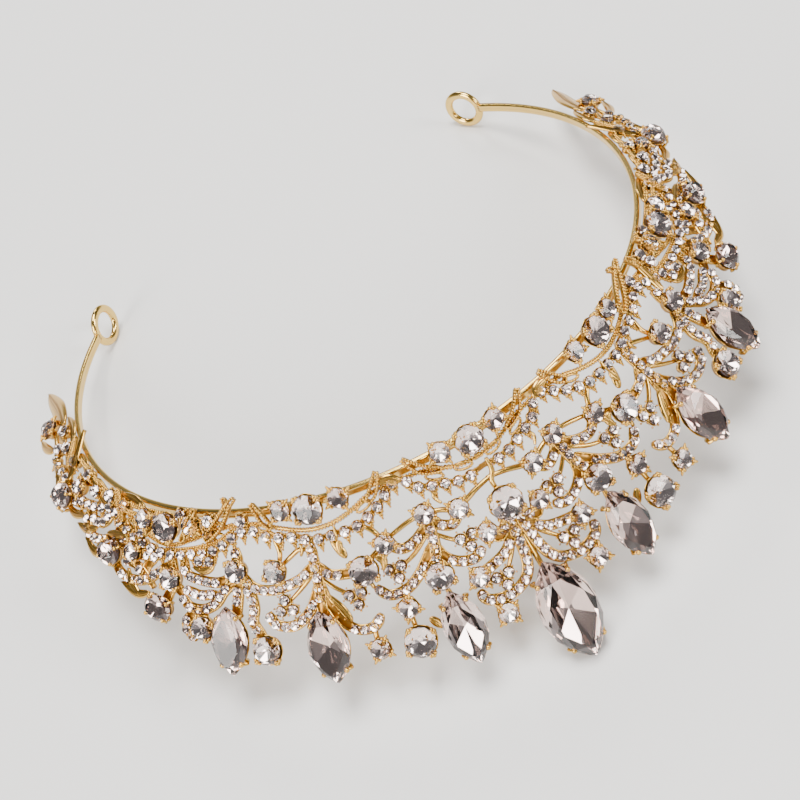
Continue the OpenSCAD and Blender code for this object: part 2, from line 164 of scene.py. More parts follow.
def makePiece(name, pile, materials, nodes=()):
    verts = layDown(np.vstack([part["verts"] for part in pile]))
    firsts = np.cumsum([0] + [len(part["verts"]) for part in pile])
    tris, quads = (np.vstack([part["faces"][size] + first for part, first in zip(pile, firsts)])
                   for size in (3, 4))
    loops = np.concatenate([tris.ravel(), quads.ravel()])
    starts = np.concatenate([np.arange(len(tris)) * 3, len(tris) * 3 + np.arange(len(quads)) * 4])
    mesh = bpy.data.meshes.new(name)
    mesh.vertices.add(len(verts))
    mesh.vertices.foreach_set("co", verts.astype(np.float32).ravel())
    mesh.loops.add(len(loops))
    mesh.loops.foreach_set("vertex_index", loops.astype(np.int32))
    mesh.polygons.add(len(starts))
    mesh.polygons.foreach_set("loop_start", starts.astype(np.int32))
    for setting, word, kind in (("use_smooth", "smooth", bool), ("material_index", "skin", np.int32)):
        values = np.concatenate([part[word][size] for size in (3, 4) for part in pile])
        mesh.polygons.foreach_set(setting, values.astype(kind))
    # per-point painted shade and stone tint, read by the materials
    for word in ("hollow", "tint"):
        values = np.concatenate([part[word] for part in pile]).astype(np.float32)
        mesh.attributes.new(word, "FLOAT", "POINT").data.foreach_set("value", values)
    mesh.update(calc_edges=True)
    mesh.validate()
    for material in materials:
        mesh.materials.append(material)
    piece = addObject(name, mesh)
    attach(piece, "root")
    if nodes:
        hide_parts(*nodes)
    pieceFaces[name] = len(tris) + 2 * len(quads)


def circle(n):
    return [[math.cos(2 * math.pi * k / n), math.sin(2 * math.pi * k / n)] for k in range(n)]


def poled(n, rows):
    # faces of a surface made of rings between two poles, counted from the lower pole
    last = n * rows + 1
    tris, quads = [], []
    for j in range(n):
        k = (j + 1) % n
        tris += [[0, 1 + k, 1 + j], [last, last - n + j, last - n + k]]
        quads += [[row + j, row + k, row + n + k, row + n + j] for row in range(1, last - n, n)]
    return {3: np.array(tris), 4: np.array(quads)}


# painted shade of a bead at mid height, its change with height, and the most of it
beadShade = (0.3, 0.6, 0.8)


def ball(segments, rows):
    # a bead with painted shade towards its underside, with its rings counted from the top
    verts = [[0, 0, 1]]
    for i in range(1, rows):
        p = math.pi * i / rows
        verts += [[math.sin(p) * c, math.sin(p) * s, math.cos(p)] for c, s in circle(segments)]
    verts = np.array(verts + [[0, 0, -1]], dtype=float)
    faces = {size: np.roll(f[:, ::-1], 1, axis=1) for size, f in poled(segments, rows - 1).items()}
    middle, fall, most = beadShade
    return {"verts": verts, "faces": faces, "hollow": np.clip(middle - fall * verts[:, 2], 0, most)}


def rim(kind, length, width, angle):
    # a point of a stone's outline: pointed, or an oval
    y = length / 2 * math.sin(angle)
    if kind != "pointed":
        return [width / 2 * math.cos(angle), y]
    arc = (length ** 2 + width ** 2) / (4 * width)
    x = math.sqrt(max(0.0, arc * arc - y * y)) - arc + width / 2
    return [math.copysign(x, math.cos(angle)) if abs(math.cos(angle)) > 1e-9 else 0.0, y]


def cutStone(kind, length, width, girdle, band, high, table=0.56, star=0.8, mains=8, keel=0.8, sag=0.92):
    # a brilliant cut on any outline: clear above the girdle and foiled below it
    full = 2 * mains
    step = 2 * math.pi / full

    def ring(scale, z, angles):
        return [[scale * v for v in rim(kind, length, width, a)] + [z] for a in angles]

    whole = [step * j for j in range(full)]
    even, odd = whole[0::2], whole[1::2]
    top = girdle + band
    fall = (star * math.cos(step) - table) / (1 - table)
    verts = [[0, 0, 0]] + ring(keel, girdle * keel * sag, odd) + ring(1, girdle, whole) + ring(1, top, whole)
    verts += ring(star, high - fall * (high - top), even) + ring(table, high, odd)
    p, low, upper = 1, 1 + mains, 1 + mains + full
    m, t = upper + full, upper + full + mains
    tris, quads, foiled = [], [], []
    for k in range(mains):
        k1 = (k + 1) % mains
        a, b, c = 2 * k, 2 * k + 1, (2 * k + 2) % full
        foiled += [[0, p + k1, p + k], [p + k, low + b, low + a], [p + k, low + c, low + b],
                   [p + k, p + k1, low + c]]
        tris += [[m + k, upper + a, upper + b], [m + k, upper + (a - 1) % full, upper + a],
                 [t + k, m + k, upper + b], [t + k, upper + b, m + k1], [t + (k - 1) % mains, m + k, t + k]]
    for j in range(full):
        k = (j + 1) % full
        quads.append([low + j, low + k, upper + k, upper + j])
    tris += [[t, t + k, t + k + 1] for k in range(1, mains - 1)]
    skins = {3: np.array([0] * len(tris) + [1] * len(foiled)), 4: 0}
    return {"verts": np.array(verts, dtype=float), "faces": {3: tris + foiled, 4: quads}, "smooth": False,
            "skin": skins}


def curve(places, perSpan):
    # a smooth line through all its places
    p = [np.array(v, dtype=float) for v in places]
    line = []
    for i in range(len(p) - 1):
        a, b, c, d = p[max(i - 1, 0)], p[i], p[i + 1], p[min(i + 2, len(p) - 1)]
        for k in range(perSpan):
            t = k / perSpan
            bend = 2 * a - 5 * b + 4 * c - d + t * (3 * b - a - 3 * c + d)
            line.append(0.5 * (2 * b + t * (c - a + t * bend)))
    return line + [p[-1]]


def stationsOf(places, perSpan, lift=0.0):
    line = curve(places, perSpan)
    centres = np.array([facePoint(a, h, lift) for a, h in line])
    outs = np.array([faceFrame(a, h)[2] for a, h in line])
    along = unit(np.gradient(centres, axis=0))
    return np.array(line), centres, unit(np.cross(along, outs)), outs, along


# painted shade at the capped ends of a sweep
capShade = 0.6


def addSweep(pile, centres, across, outs, section, widths, depths, hollows=0.0, closed=False):
    # one cross-section carried along a line, closed into a ring or capped at both ends.
    # A section's third column is the painted shade there.
    section = np.asarray(section, dtype=float)
    hollows = section[:, 2] if section.shape[1] > 2 else hollows
    n, m = len(centres), len(section)
    wide, deep = forEach(widths, n)[:, None], forEach(depths, n)[:, None]
    ring = (centres[:, None] + across[:, None] * (section[None, :, 0] * wide)[..., None]
            + outs[:, None] * (section[None, :, 1] * deep)[..., None])
    verts, quads, tris = ring.reshape(-1, 3), [], []
    hollows = np.tile(forEach(hollows, m), n)
    if not closed:
        verts = np.vstack([verts, ring[0].mean(0), ring[-1].mean(0)])
        hollows = np.concatenate([hollows, [capShade, capShade]])
    for k in range(m):
        k1 = (k + 1) % m
        for i in range(n if closed else n - 1):
            i1 = (i + 1) % n
            quads.append([i * m + k, i1 * m + k, i1 * m + k1, i * m + k1])
        if not closed:
            tris += [[n * m, k, k1], [n * m + 1, (n - 1) * m + k1, (n - 1) * m + k]]
    addMesh(pile, verts, {3: tris, 4: quads}, hollows)


bead = ball(8, 5)
smallBead = ball(6, 4)

# name, angle, height, length, width, lean, outline
middleGem = ("marquise_0", 0, 40, 23, 12.5, 0, "pointed")
sideGems = [
    ("marquise_1", 13, 33.2, 16.6, 8.8, 0, "pointed"),
    ("marquise_2", 30.9, 28.4, 15.6, 8.8, 0, "pointed"),
    ("marquise_3", 44.6, 25, 14.6, 8, 0, "pointed"),
    ("oval_1", 56.4, 19.7, 7.2, 5.6, 78, "oval"),
    ("oval_2", 67.6, 11.6, 7, 5.6, 84, "oval"),
    ("oval_3", 84.6, 8.6, 7.6, 5.8, 86, "oval"),
]
# name, angle, height, diameter
sideRounds = [
    ("band_round_1", 27.9, 0, 6.2),
    ("band_round_2", 55.4, 2.4, 6.2),
    ("round_1", 13.2, 21.8, 5.9),
    ("round_2", 19.2, 32.9, 6.6),
    ("round_3", 22.9, 15.2, 6),
    ("round_4", 39.7, 27.6, 6),
    ("round_5", 36.1, 11.5, 4.8),
    ("round_6", 42.5, 10.7, 4.8),
    ("round_7", 49.1, 22.8, 5),
    ("round_8", 54.5, 13.2, 4.8),
]
middleRounds = [("centre_round", 0, 14.7, 7), ("band_round_0", 0, -0.3, 6)]
# angle, height, diameter
accents = [
    (5, -1, 4.2), (22.6, -0.6, 4.2), (32.6, -0.8, 4.2), (50.2, 1.4, 4.4), (60.8, 1.8, 4.4),
    (7.1, 35, 4.2), (24.6, 31.8, 4.2), (19, 25.5, 4.2), (11.4, 8.8, 4.2), (6.5, 11, 4.2),
    (4.4, 18, 4), (8.3, 25.6, 4.2), (18.6, 11.4, 4.2), (62.8, 9.6, 4.2), (81.6, 3.9, 3.8),
    (103.2, 6.6, 4.6),
]
# kind, width, lift, then the angle and height of each place
strands = [
    # garland over the band stones
    ("garland", 1.8, 0, -0.6, 6, 3.6, 6.3, 7.4, 4.8, 10.4, 3.4, 12.2, 0.2),
    ("garland", 1.8, 0, 12.9, -0.3, 15.4, 2, 18, 4.3, 21.6, 6.2, 25, 6.5,
     29, 6.5, 32, 5, 35.6, 4.4, 38.4, 2.6, 41.6, 2.8),
    ("garland", 1.8, 0, 41.6, 3, 46.2, 6.4, 51, 7.5, 56, 8.2, 61.6, 6.9, 66.4, 5, 70, 2.6),
    ("garland", 1.7, 0, 70, 2.4, 75, 4.8, 80, 6, 86, 5.6, 91, 6.2, 95, 6.6),
    ("beaded", 1.2, 0, -0.6, 3.8, 3, 3.5, 5.8, 2.3, 9, 1, 12.6, 0.6),
    ("beaded", 1.2, 0, 12.4, 0.6, 17.6, 0.9, 21.5, 2.9, 25, 4.2,
     28.4, 4.5, 31.6, 3.8, 35.2, 2.4, 38, 1.4, 42, 1.4),
    ("beaded", 1.2, 0, 42, 1.2, 46.6, 2.6, 50.6, 4.4, 55.7, 6.3, 61.2, 4.9, 66, 2.5, 70, 1.2),
    # leaves that cross the band
    ("rope", 2, 0.7, 6, 2.2, 8.8, 0.4, 10.8, -3),
    ("rope", 2, 0.7, 18.4, 2.2, 17, 0.4, 15.4, -2.9),
    ("leaf", 2.4, 1, 86, 5.4, 87.8, 0.6, 90.6, -5.2),
    # middle spray, under the middle marquise
    ("vine", 1.8, 0, 0.9, 16, 0.9, 22, 1.6, 28, 3.2, 31, 6, 32, 8.6, 30.9, 9.2, 28.4),
    ("wire", 1.1, 0, 1.2, 21.6, 3, 25, 4.6, 27.6),
    ("vine", 1.7, 0, 1, 20.6, 3.4, 23.6, 6, 24.8, 8.3, 25.4),
    ("vine", 1.7, 0, 0.9, 17.4, 3, 20.4, 4.4, 18),
    ("wire", 1.4, 0, -0.6, 8.6, 2.6, 9.4, 6.5, 11, 9, 9.8, 11.4, 8.8),
    ("middle", 1.3, 0, -0.9, 5, -0.8, 7.7, 0.1, 9.7, 0, 12),
    ("middle", 1.4, 0, 0, 21, 0, 34),
    ("wire", 1.3, 0, 7.4, 35, 7.8, 33, 7.6, 31),
    # first side spray, under the first marquise
    ("vine", 1.8, 0, 11.4, 7.6, 11.6, 11.6, 12, 15.6, 12.8, 19.2, 13.2, 23),
    ("vine", 1.7, 0, 12, 15.4, 11.5, 18.6, 9.9, 20.9, 7.7, 21.8, 5.9, 20.6),
    ("wire", 1.1, 0, 11.8, 13, 9.8, 15.8, 8, 17.8),
    ("vine", 1.7, 0, 11.5, 10.6, 9.8, 12.6, 8.2, 13.4, 6.5, 11.4),
    ("vine", 1.7, 0, 12.2, 15.2, 13.9, 17.6, 15.8, 20, 18.2, 21.9, 20.9, 21.9, 22.3, 19.4),
    ("wire", 1.1, 0, 12.2, 13, 15.2, 15.8, 17.6, 17.2),
    ("vine", 1.7, 0, 11.8, 11.2, 14.2, 13.2, 16.6, 13.8, 18.6, 11.6),
    ("wire", 1.2, 0, 11.6, 8.8, 14.6, 9.4, 18.4, 11),
    ("wire", 1.3, 0, 13.2, 24, 13, 27, 13, 30),
    ("wire", 1.3, 0, 18.2, 21.6, 19, 25.4, 19.2, 29, 19.2, 33),
    ("wire", 1.3, 0, 18.8, 11.6, 21, 13.2, 22.9, 15.2, 22.6, 19.6),
    ("wire", 1.3, 0, 18.6, 11.4, 19.6, 8.4, 21, 6.6),
    # second side spray, under the second marquise
    ("vine", 1.8, 0, 29.6, 6.8, 29.9, 11.6, 30.2, 16, 30.7, 20.2, 30.9, 24),
    ("vine", 1.7, 0, 30, 15, 29.7, 19.6, 28.6, 24, 26.8, 26.8, 24.6, 27.2, 23, 25.2),
    ("wire", 1.1, 0, 29.8, 14.4, 28, 17.4, 26.2, 19.4),
    ("leaf", 2, 0, 27.2, 25, 28.3, 21.6, 29.7, 18),
    ("vine", 1.7, 0, 29.8, 11.4, 28.2, 14.2, 26, 15, 23.2, 15.2),
    ("vine", 1.7, 0, 30.1, 15.2, 31.4, 18.6, 33.2, 21.6, 35.6, 23.4, 38, 22.6, 38.9, 20),
    ("wire", 1.1, 0, 30.1, 13, 32.8, 15.8, 35.2, 18.2),
    ("vine", 1.7, 0, 30, 11.4, 32.4, 13.8, 35, 14.9, 37.8, 15.4, 40.4, 14.4, 42.4, 11),
    ("wire", 1.2, 0, 29.8, 8.8, 31.6, 8, 33.2, 9, 36, 11.4),
    ("wire", 1.2, 0, 36.1, 11.4, 35, 8.2, 35.4, 5.2),
    ("leaf", 2, 0, 24.9, 12, 25.6, 9.8, 26.4, 7.2),
    ("wire", 1.3, 0, 24.4, 27, 24.7, 29.2, 24.6, 31.8),
    # third side spray, under the third marquise
    ("vine", 1.8, 0, 42.4, 6, 42.5, 10.6, 43, 14.6, 43.8, 19.2, 44.5, 22),
    ("vine", 1.7, 0, 42.6, 12.6, 41.2, 15.6, 40.9, 18.8, 41.4, 22, 40, 26),
    ("vine", 1.7, 0, 43.2, 12.6, 45.4, 15, 47, 17.6, 49.2, 19, 51.6, 18.6, 52.9, 16.4),
    ("vine", 1.7, 0, 43, 11.8, 46.2, 13.2, 49.4, 12.8, 51.9, 11.6, 52.4, 8),
    ("wire", 1.3, 0, 49, 18.8, 49, 20.6, 49.1, 22.8),
    ("vine", 1.7, 0, 49, 19.4, 51.6, 20.8, 52.2, 23.2, 50.6, 25.6),
    ("wire", 1.2, 0, 45.8, 6.4, 47, 8.4, 48.4, 9.4),
    # fourth side spray, which runs down to the end
    ("vine", 1.8, 0, 55.4, 7.6, 54.7, 10.4, 54.5, 13.4, 55.4, 16.6, 56.4, 19.6),
    ("vine", 1.7, 0, 55.2, 10.2, 57.6, 12.6, 60.2, 14.8, 63.2, 15.6, 66, 14.6, 67.4, 12),
    ("vine", 1.7, 0, 56, 8, 59.2, 9.4, 62.8, 9.8, 65.4, 9, 68.4, 7.6),
    ("vine", 1.7, 0, 52.7, 16.6, 54.2, 14.6, 56.8, 14),
    ("vine", 1.7, 0, 66.6, 5, 68.6, 8.2, 71.4, 10.4, 74.4, 10.8, 76.4, 8.8, 76.6, 5.4),
    ("vine", 1.7, 0, 76.2, 4.6, 79.6, 6.6, 84.6, 7.8, 89, 6),
    ("leaf", 2.4, 0, 70.4, 1.4, 73.4, 3, 76.6, 5),
    ("leaf", 2.2, 0.1, 77, 0.9, 80.8, 1.6, 84.6, 3),
    ("leaf", 2.4, 0, 93, 7.8, 95.4, 5.6, 98, 2.6),
    # plain end leaf and its stem
    ("wire", 1.6, 0.2, 95, 6.4, 99, 5.6, 103.4, 6),
    ("leaf", 4.6, 0.6, 101, 1.8, 108, 4.6, 115.2, 9.8),
]
# finer work laid over them: petals, roped loops, short leaves that fill the sides
fineWork = [
    ("wire", 0.8, 1, 24.9, 4.6, 25, 7.4),
    ("leaf", 1.7, 0.9, 25, 7.8, 25.2, 9, 25.4, 10.6),
    ("leaf", 1.9, 1.2, 20.6, 13.2, 19.7, 14.4, 20.1, 16.4),
    ("leaf", 1.9, 1, 16.9, 29, 16.2, 30.6, 15.8, 32),
    ("beaded", 1, 0.3, 44, 0.9, 50, 0.3, 56, 0, 63, 0.1, 70, 0.4, 77, 0, 84, -0.2, 91, 0.4),
    ("beaded", 1, 0.9, 62, 1.4, 66, 1.6, 70, 0.4),
    ("beaded", 1.1, 0.4, 41.8, 1.8, 45, 4.4, 49, 5.9, 53, 6.9, 56, 7.4),
    ("beaded", 1.1, 0.4, 47.6, -0.2, 48, 2, 50.4, 4.6),
    ("stud", 2.5, 0, 46.8, 2.9, 40.2, 0.4, 38.8, 3),
    ("rope", 1.7, 0.8, 52.4, 4.8, 50.6, 1.8, 49.4, -2.2),
    ("rope", 1.6, 0.8, 66.4, 4.2, 68, 1.4, 69.6, -1.6),
    ("rope", 1.6, 0.8, 88.6, 3.4, 90.2, 0.8, 92.4, -1.8),
    ("loop", 1.4, 0.6, 60.4, 2.2, 1.2, 0.3),
    ("loop", 1.4, 0.6, 73.4, 1.2, 1.4, -0.2),
    ("vine", 1.6, 0.4, 59.4, 3.4, 62.4, 5.8, 66, 8.2),
    ("vine", 1.6, 0.2, 58.2, 16, 61.4, 12.6, 64.6, 12),
    ("vine", 1.6, 0.2, 46.8, 15.4, 49.4, 16, 52.2, 14.8),
    ("leaf", 2, 0.6, 69, 9.4, 71, 11.2, 71.6, 13.6),
    ("leaf", 2.2, 0.6, 73, 8.6, 75.6, 10.4, 78.4, 10.6),
    ("leaf", 2.2, 0.6, 89, 6.6, 92.4, 7.4, 95.8, 6.4),
    ("leaf", 2, 0.6, 60.6, 18.4, 62.8, 16.2, 63.6, 13.4),
    ("stud", 2.9, 0, 66.6, 0.9, 71.4, 0.5, 76, 1.7, 87.2, 1.1, 92.8, 1.9, 98, 1.5),
    ("stud", 2.6, 0, 52.4, -0.6, 59.6, -0.4, 80.4, 0.2, 46.6, 0.2, 95.4, 4.6),
    ("leaf", 2.4, 0.2, 61.6, 0.3, 65, -0.9, 69.4, -1),
    ("leaf", 2.4, 0.2, 71.6, 3.6, 74, 1.2, 78, -0.6),
    ("leaf", 2.4, 0.2, 81, 1.9, 84, -0.1, 88, -0.8),
    ("leaf", 2.6, 0.3, 86.4, 3.6, 90, 3.7, 94.2, 2.6),
    ("leaf", 2.8, 0.3, 93.6, 0.2, 97.6, -0.5, 102, 0.4),
    ("vine", 1.6, 0.1, 57.8, 0.2, 62.4, 5.6, 66.6, 4.4, 70.4, 2.6),
    ("loop", 1.5, 0.4, 2.7, 3.9, 1.4, -0.4),
    ("loop", 1.4, 0.4, 7.4, 3, 1.3, -0.7),
    ("loop", 1.3, 0.4, 19.4, 2.9, 1.3, 0.7),
    ("loop", 1.3, 0.4, 36.2, 3.7, 1.3, -0.5),
    ("loop", 1.3, 0.4, 45.6, 3.9, 1.3, 0.7),
    ("loop", 1.4, 0.4, 64.6, 4.3, 1.3, -0.7),
    ("loop", 2, 0.9, 81.2, 0.2, -0.4, -1.9),
    ("leaf", 2, 0.4, 79.4, 0.2, 76.6, 1.6, 73, 2.9, 70.2, 2.2),
    ("leaf", 2, 1.2, 69.4, 7.9, 66.8, 7.4, 64.2, 6.5),
    ("vine", 1.7, 0.2, 57.6, 8.8, 59.8, 11.8, 60.2, 15),
    ("leaf", 2, 0.6, 58.8, 17.2, 61.4, 18.2, 64.6, 16.8),
    ("leaf", 2.2, 0.6, 69.6, 12.6, 72, 13.6, 75, 12),
    ("leaf", 2.2, 0.6, 77.4, 8, 80.4, 9.6, 83.2, 9.4),
    ("leaf", 2.2, 0.6, 86, 9.4, 89, 9, 92, 7.2),
    ("vine", 1.6, 0.3, 70, 4, 72, 7, 75, 7),
    ("leaf", 2.4, 0.5, 87.6, 1, 91.2, 2.2, 95, 3.8),
    ("leaf", 2.6, 0.5, 95.4, 2.4, 99, 3.4, 102.8, 2.4),
    ("leaf", 2.4, 0.5, 97.4, 7, 100.4, 9.4, 103.4, 10.8),
    ("leaf", 1.9, 0.5, 46.6, 9.6, 48.4, 10.8, 50.6, 10.2),
    ("leaf", 2.2, 0.6, 12.4, 0.9, 14.2, -0.5, 16.6, -0.6),
    ("wire", 0.9, 0.9, 8.7, 5.6, 8.9, 6.8, 8.3, 8.4),
    ("wire", 0.9, 0.9, 31.1, 6.6, 30.9, 7.8, 31.4, 9.2),
]
# leaves that differ between the two sides, as a handmade crown's do
sidedWork = {
    "left": [
        ("rope", 2.6, 0.8, 47.2, 4.2, 44.4, 0.6, 42, -3.2),
        ("rope", 1.1, 0.9, 42.5, -2.4, 41.7, -3.4, 40.7, -4.4),
        ("rope", 1.1, 0.9, 42.5, -2.4, 42.6, -3.6, 42.9, -4.6),
        ("rope", 1.8, 0.8, 35, 2.6, 36.3, 0.1, 37.6, -2.9),
    ],
    "right": [
        ("rope", 2.8, 0.9, 34.3, 2.6, 37.4, -0.7, 40.4, -3.6),
        ("rope", 1.1, 1, 40, -3, 39.6, -4.2, 38.8, -5),
        ("rope", 1.1, 1, 40, -3, 41.2, -4, 42, -4.5),
        ("leaf", 2.6, 0.9, 43.3, 8, 44.2, 3, 44.5, -2),
        ("rope", 1.4, 1, 44.3, 1.2, 44.2, -0.8, 43.6, -2.6),
    ],
}
# small stones in threes: angle, height
trefoils = [(5.4, 28.3), (7.4, 17.6), (18.6, 17.6), (25.4, 20.2), (35.8, 19.2), (48.2, 8)]

# gold: its polish, and a darker tone that is painted shade where the mask is high and random patches
# elsewhere
castLook = {
    "polish": (0.67, 0.4, 0.088, 1),
    "recess": (0.24, 0.092, 0.014, 1),
    "grainScale": 900.0,
    "grainDepth": 0.25,
    "grainHeight": 0.00005,
    "rough": 0.2,
    "recessRough": 0.42,
}
# the same gold painted paler for the head ring, standing in for the light it catches, with a paler painted
# shade too
litWireLook = dict(castLook, polish=(0.8, 0.54, 0.16, 1), recess=(0.48, 0.26, 0.065, 1), rough=0.18,
                 grainDepth=0.1)
stoneLook = {
    "clear": (0.99, 0.96, 0.95, 1),
    "warm": (0.975, 0.925, 0.905, 1),
    "foil": (0.97, 0.86, 0.825, 1),
    "foilShade": (0.68, 0.525, 0.475, 1),
    "foilRough": 0.06,
    "ior": 1.4,
}


def feed(tree, sockets, values):
    # gives each input its value, or the output that feeds it
    for word, value in values.items():
        if isinstance(value, bpy.types.NodeSocket):
            tree.links.new(value, sockets[word])
        else:
            sockets[word].default_value = value


def addNode(tree, kind, values, **settings):
    node = tree.nodes.new("ShaderNode" + kind)
    for word, value in settings.items():
        setattr(node, word, value)
    feed(tree, node.inputs, values)
    return node.outputs


def newGroup(name, inputs, outputs):
    group = bpy.data.node_groups.new(name, "ShaderNodeTree")
    for word, value in inputs.items():
        kind = "NodeSocketColor" if isinstance(value, tuple) else "NodeSocketFloat"
        group.interface.new_socket(word, in_out="INPUT", socket_type=kind).default_value = value
    for word, kind in outputs.items():
        group.interface.new_socket(word, in_out="OUTPUT", socket_type=kind)
    ins, outs = group.nodes.new("NodeGroupInput"), group.nodes.new("NodeGroupOutput")
    ins.location, outs.location = (-900, 0), (500, 0)
    return group, ins.outputs, outs.inputs


# broad random patches of the darker tone, added to the painted shade
patchLook = {"scale": 120.0, "gain": 0.5, "shift": -0.25, "grainDetail": 3.0}


def castSkinGroup():
    # polish of cast metal and a darker tone painted in as shade where the points carry painted shade, and in
    # random broad patches, with a fine grain
    group, ins, outs = newGroup(
        "castSkin",
        {"Polish": (1, 1, 1, 1), "Recess": (0.3, 0.2, 0.1, 1), "Hollow": 0.0, "Grain Scale": 500.0,
         "Smooth Rough": 0.2, "Recess Rough": 0.4},
        {"Color": "NodeSocketColor", "Roughness": "NodeSocketFloat", "Grain": "NodeSocketFloat"})
    place = addNode(group, "TexCoord", {})["Object"]
    grain = addNode(group, "TexNoise", {"Vector": place, "Scale": ins["Grain Scale"],
                                        "Detail": patchLook["grainDetail"]})
    cloud = addNode(group, "TexNoise", {"Vector": place, "Scale": patchLook["scale"]})
    spread = addNode(group, "Math", {0: cloud["Fac"], 1: patchLook["gain"], 2: patchLook["shift"]},
                     operation="MULTIPLY_ADD")
    # the painted shade of each point, raised or lowered by the random patches, mixes in the darker tone
    mask = addNode(group, "Math", {0: ins["Hollow"], 1: spread[0]}, operation="ADD", use_clamp=True)[0]
    tone = addNode(group, "Mix", {0: mask, 6: ins["Polish"], 7: ins["Recess"]}, data_type="RGBA")
    rough = addNode(group, "Mix", {0: mask, 2: ins["Smooth Rough"], 3: ins["Recess Rough"]})
    feed(group, outs, {"Color": tone[2], "Roughness": rough[0], "Grain": grain["Fac"]})
    return group


def stoneToneGroup():
    # each stone's own tint between two colours
    group, ins, outs = newGroup("stoneTone", {"First": (1, 1, 1, 1), "Second": (1, 1, 1, 1), "Tint": 0.5},
                                {"Color": "NodeSocketColor"})
    tone = addNode(group, "Mix", {0: ins["Tint"], 6: ins["First"], 7: ins["Second"]}, data_type="RGBA")
    feed(group, outs, {"Color": tone[2]})
    return group


castSkin, stoneTone = castSkinGroup(), stoneToneGroup()


def newMaterial(name, color):
    material = bpy.data.materials.new(name)
    material.use_nodes = True
    material.diffuse_color = color
    return material, material.node_tree, material.node_tree.nodes["Principled BSDF"].inputs


def attribute(tree, word):
    return addNode(tree, "Attribute", {}, attribute_name=word)["Fac"]


def goldMaterial(name, look):
    material, tree, shader = newMaterial(name, look["polish"])
    # the polish darkens towards the darker tone by each point's painted shade
    skin = addNode(tree, "Group", {
        "Polish": look["polish"],
        "Recess": look["recess"],
        "Hollow": attribute(tree, "hollow"),
        "Grain Scale": look["grainScale"],
        "Smooth Rough": look["rough"],
        "Recess Rough": look["recessRough"],
    }, node_tree=castSkin)
    bump = addNode(tree, "Bump", {"Height": skin["Grain"], "Strength": look["grainDepth"],
                                  "Distance": look["grainHeight"]})
    feed(tree, shader, {"Base Color": skin["Color"], "Roughness": skin["Roughness"], "Metallic": 1.0,
                        "Normal": bump["Normal"]})
    return material


def stoneMaterial(name, first, second, finish):
    material, tree, shader = newMaterial(name, first)
    tone = addNode(tree, "Group", {"First": first, "Second": second, "Tint": attribute(tree, "tint")},
                   node_tree=stoneTone)
    feed(tree, shader, {"Base Color": tone["Color"]})
    feed(tree, shader, finish)
    return material


castGold = goldMaterial("cast_gold", castLook)
litWireGold = goldMaterial("wire_gold", litWireLook)
clearStone = stoneMaterial("clear_stone", stoneLook["clear"], stoneLook["warm"],
                           {"Transmission Weight": 1.0, "IOR": stoneLook["ior"], "Roughness": 0.0})
stoneFoil = stoneMaterial("stone_foil", stoneLook["foil"], stoneLook["foilShade"],
                          {"Metallic": 1.0, "Roughness": stoneLook["foilRough"]})
print("crown: materials ready")

# head ring and its two end loops
bandLook = {
    "wide": 1.4,
    "high": 2.2,
    "sides": 40,
    "endAngle": 127.0,
    "groove": 0.1,
    "shade": 0.3,
    "shadeReach": 0.12,
    "loopAngle": 130.6,
    "loopRadius": 4.2,
    "loopWide": 2.0,
    "loopThick": 1.6,
    "loopSides": 24,
    "loopPower": 0.95,
    "loopStep": 5,
    "solder": (1.47, 0.84, 1.155),
    "solderOff": 0.35,
}


def softBar(n, groove, power=0.62, reach=0.21):
    # a rounded bar with a shallow groove along both flat sides
    points = []
    for c, s in circle(n):
        x, z = math.copysign(abs(c) ** power, c) / 2, math.copysign(abs(s) ** power, s) / 2
        dip = groove * math.cos(math.pi / 2 * z / reach) if abs(z) < reach else 0
        points.append([x * (1 - dip), z])
    return points


band = []
turns = np.radians(np.arange(-bandLook["endAngle"], bandLook["endAngle"] + 0.5, 1.0))
ways = np.stack([np.sin(turns), -np.cos(turns), 0 * turns], 1)
# painted shade along the middle of the band's flat sides, where the grooves run
groovePaintedShade = [bandLook["shade"] if abs(z) < bandLook["shadeReach"] else 0.0
                for x, z in softBar(bandLook["sides"], 0)]
addSweep(band, ways * face["ringRadius"], ways, np.tile([0.0, 0.0, 1.0], (len(turns), 1)),
         softBar(bandLook["sides"], bandLook["groove"]), bandLook["wide"], bandLook["high"], groovePaintedShade)
for hand in (-1, 1):
    c, s = cosSin(bandLook["loopAngle"] * hand)
    way, along, rise = np.array([s, -c, 0]), np.array([c, s, 0]), np.array([0, 0, 1])
    middle = way * face["ringRadius"]
    rounds = np.array([along * math.cos(u) + rise * math.sin(u)
                       for u in np.radians(np.arange(0, 360, bandLook["loopStep"]))])
    addSweep(band, middle + rounds * bandLook["loopRadius"], rounds, np.tile(way, (len(rounds), 1)),
             softBar(bandLook["loopSides"], 0, bandLook["loopPower"]), bandLook["loopWide"],
             bandLook["loopThick"], closed=True)
    stamp(band, bead, middle - along * hand * (bandLook["loopRadius"] + bandLook["solderOff"]),
          [along, way, rise], [bandLook["solder"]])
makePiece("head_ring", band, [litWireGold], ["headband"])

# cups that hold the stones
cupLook = {
    "rim": 0.2,
    "segments": 32,
    "scallops": 8,
    "high": 1.7,
    "accentHigh": 1.5,
    # height of the cup's floor and its painted shade
    "floor": (0.7, 0.8),
    # scale, height, scallop outwards and upwards, painted shade, from the bottom over the rim to the inside
    "rows": [(0.66, 0.0, 0, 0, 0.4), (0.78, 0.12, 0, 0, 0.3), (0.8, 0.45, 0, 0, 0.75),
             (0.86, 0.72, 0.02, 0, 0.6), (0.97, 0.94, 0.03, 0.05, 0.1), (1.0, 1.04, 0.03, 0.08, 0.0),
             (0.93, 1.06, 0.02, 0.08, 0.1), (0.86, 0.8, 0, 0, 0.8)],
}


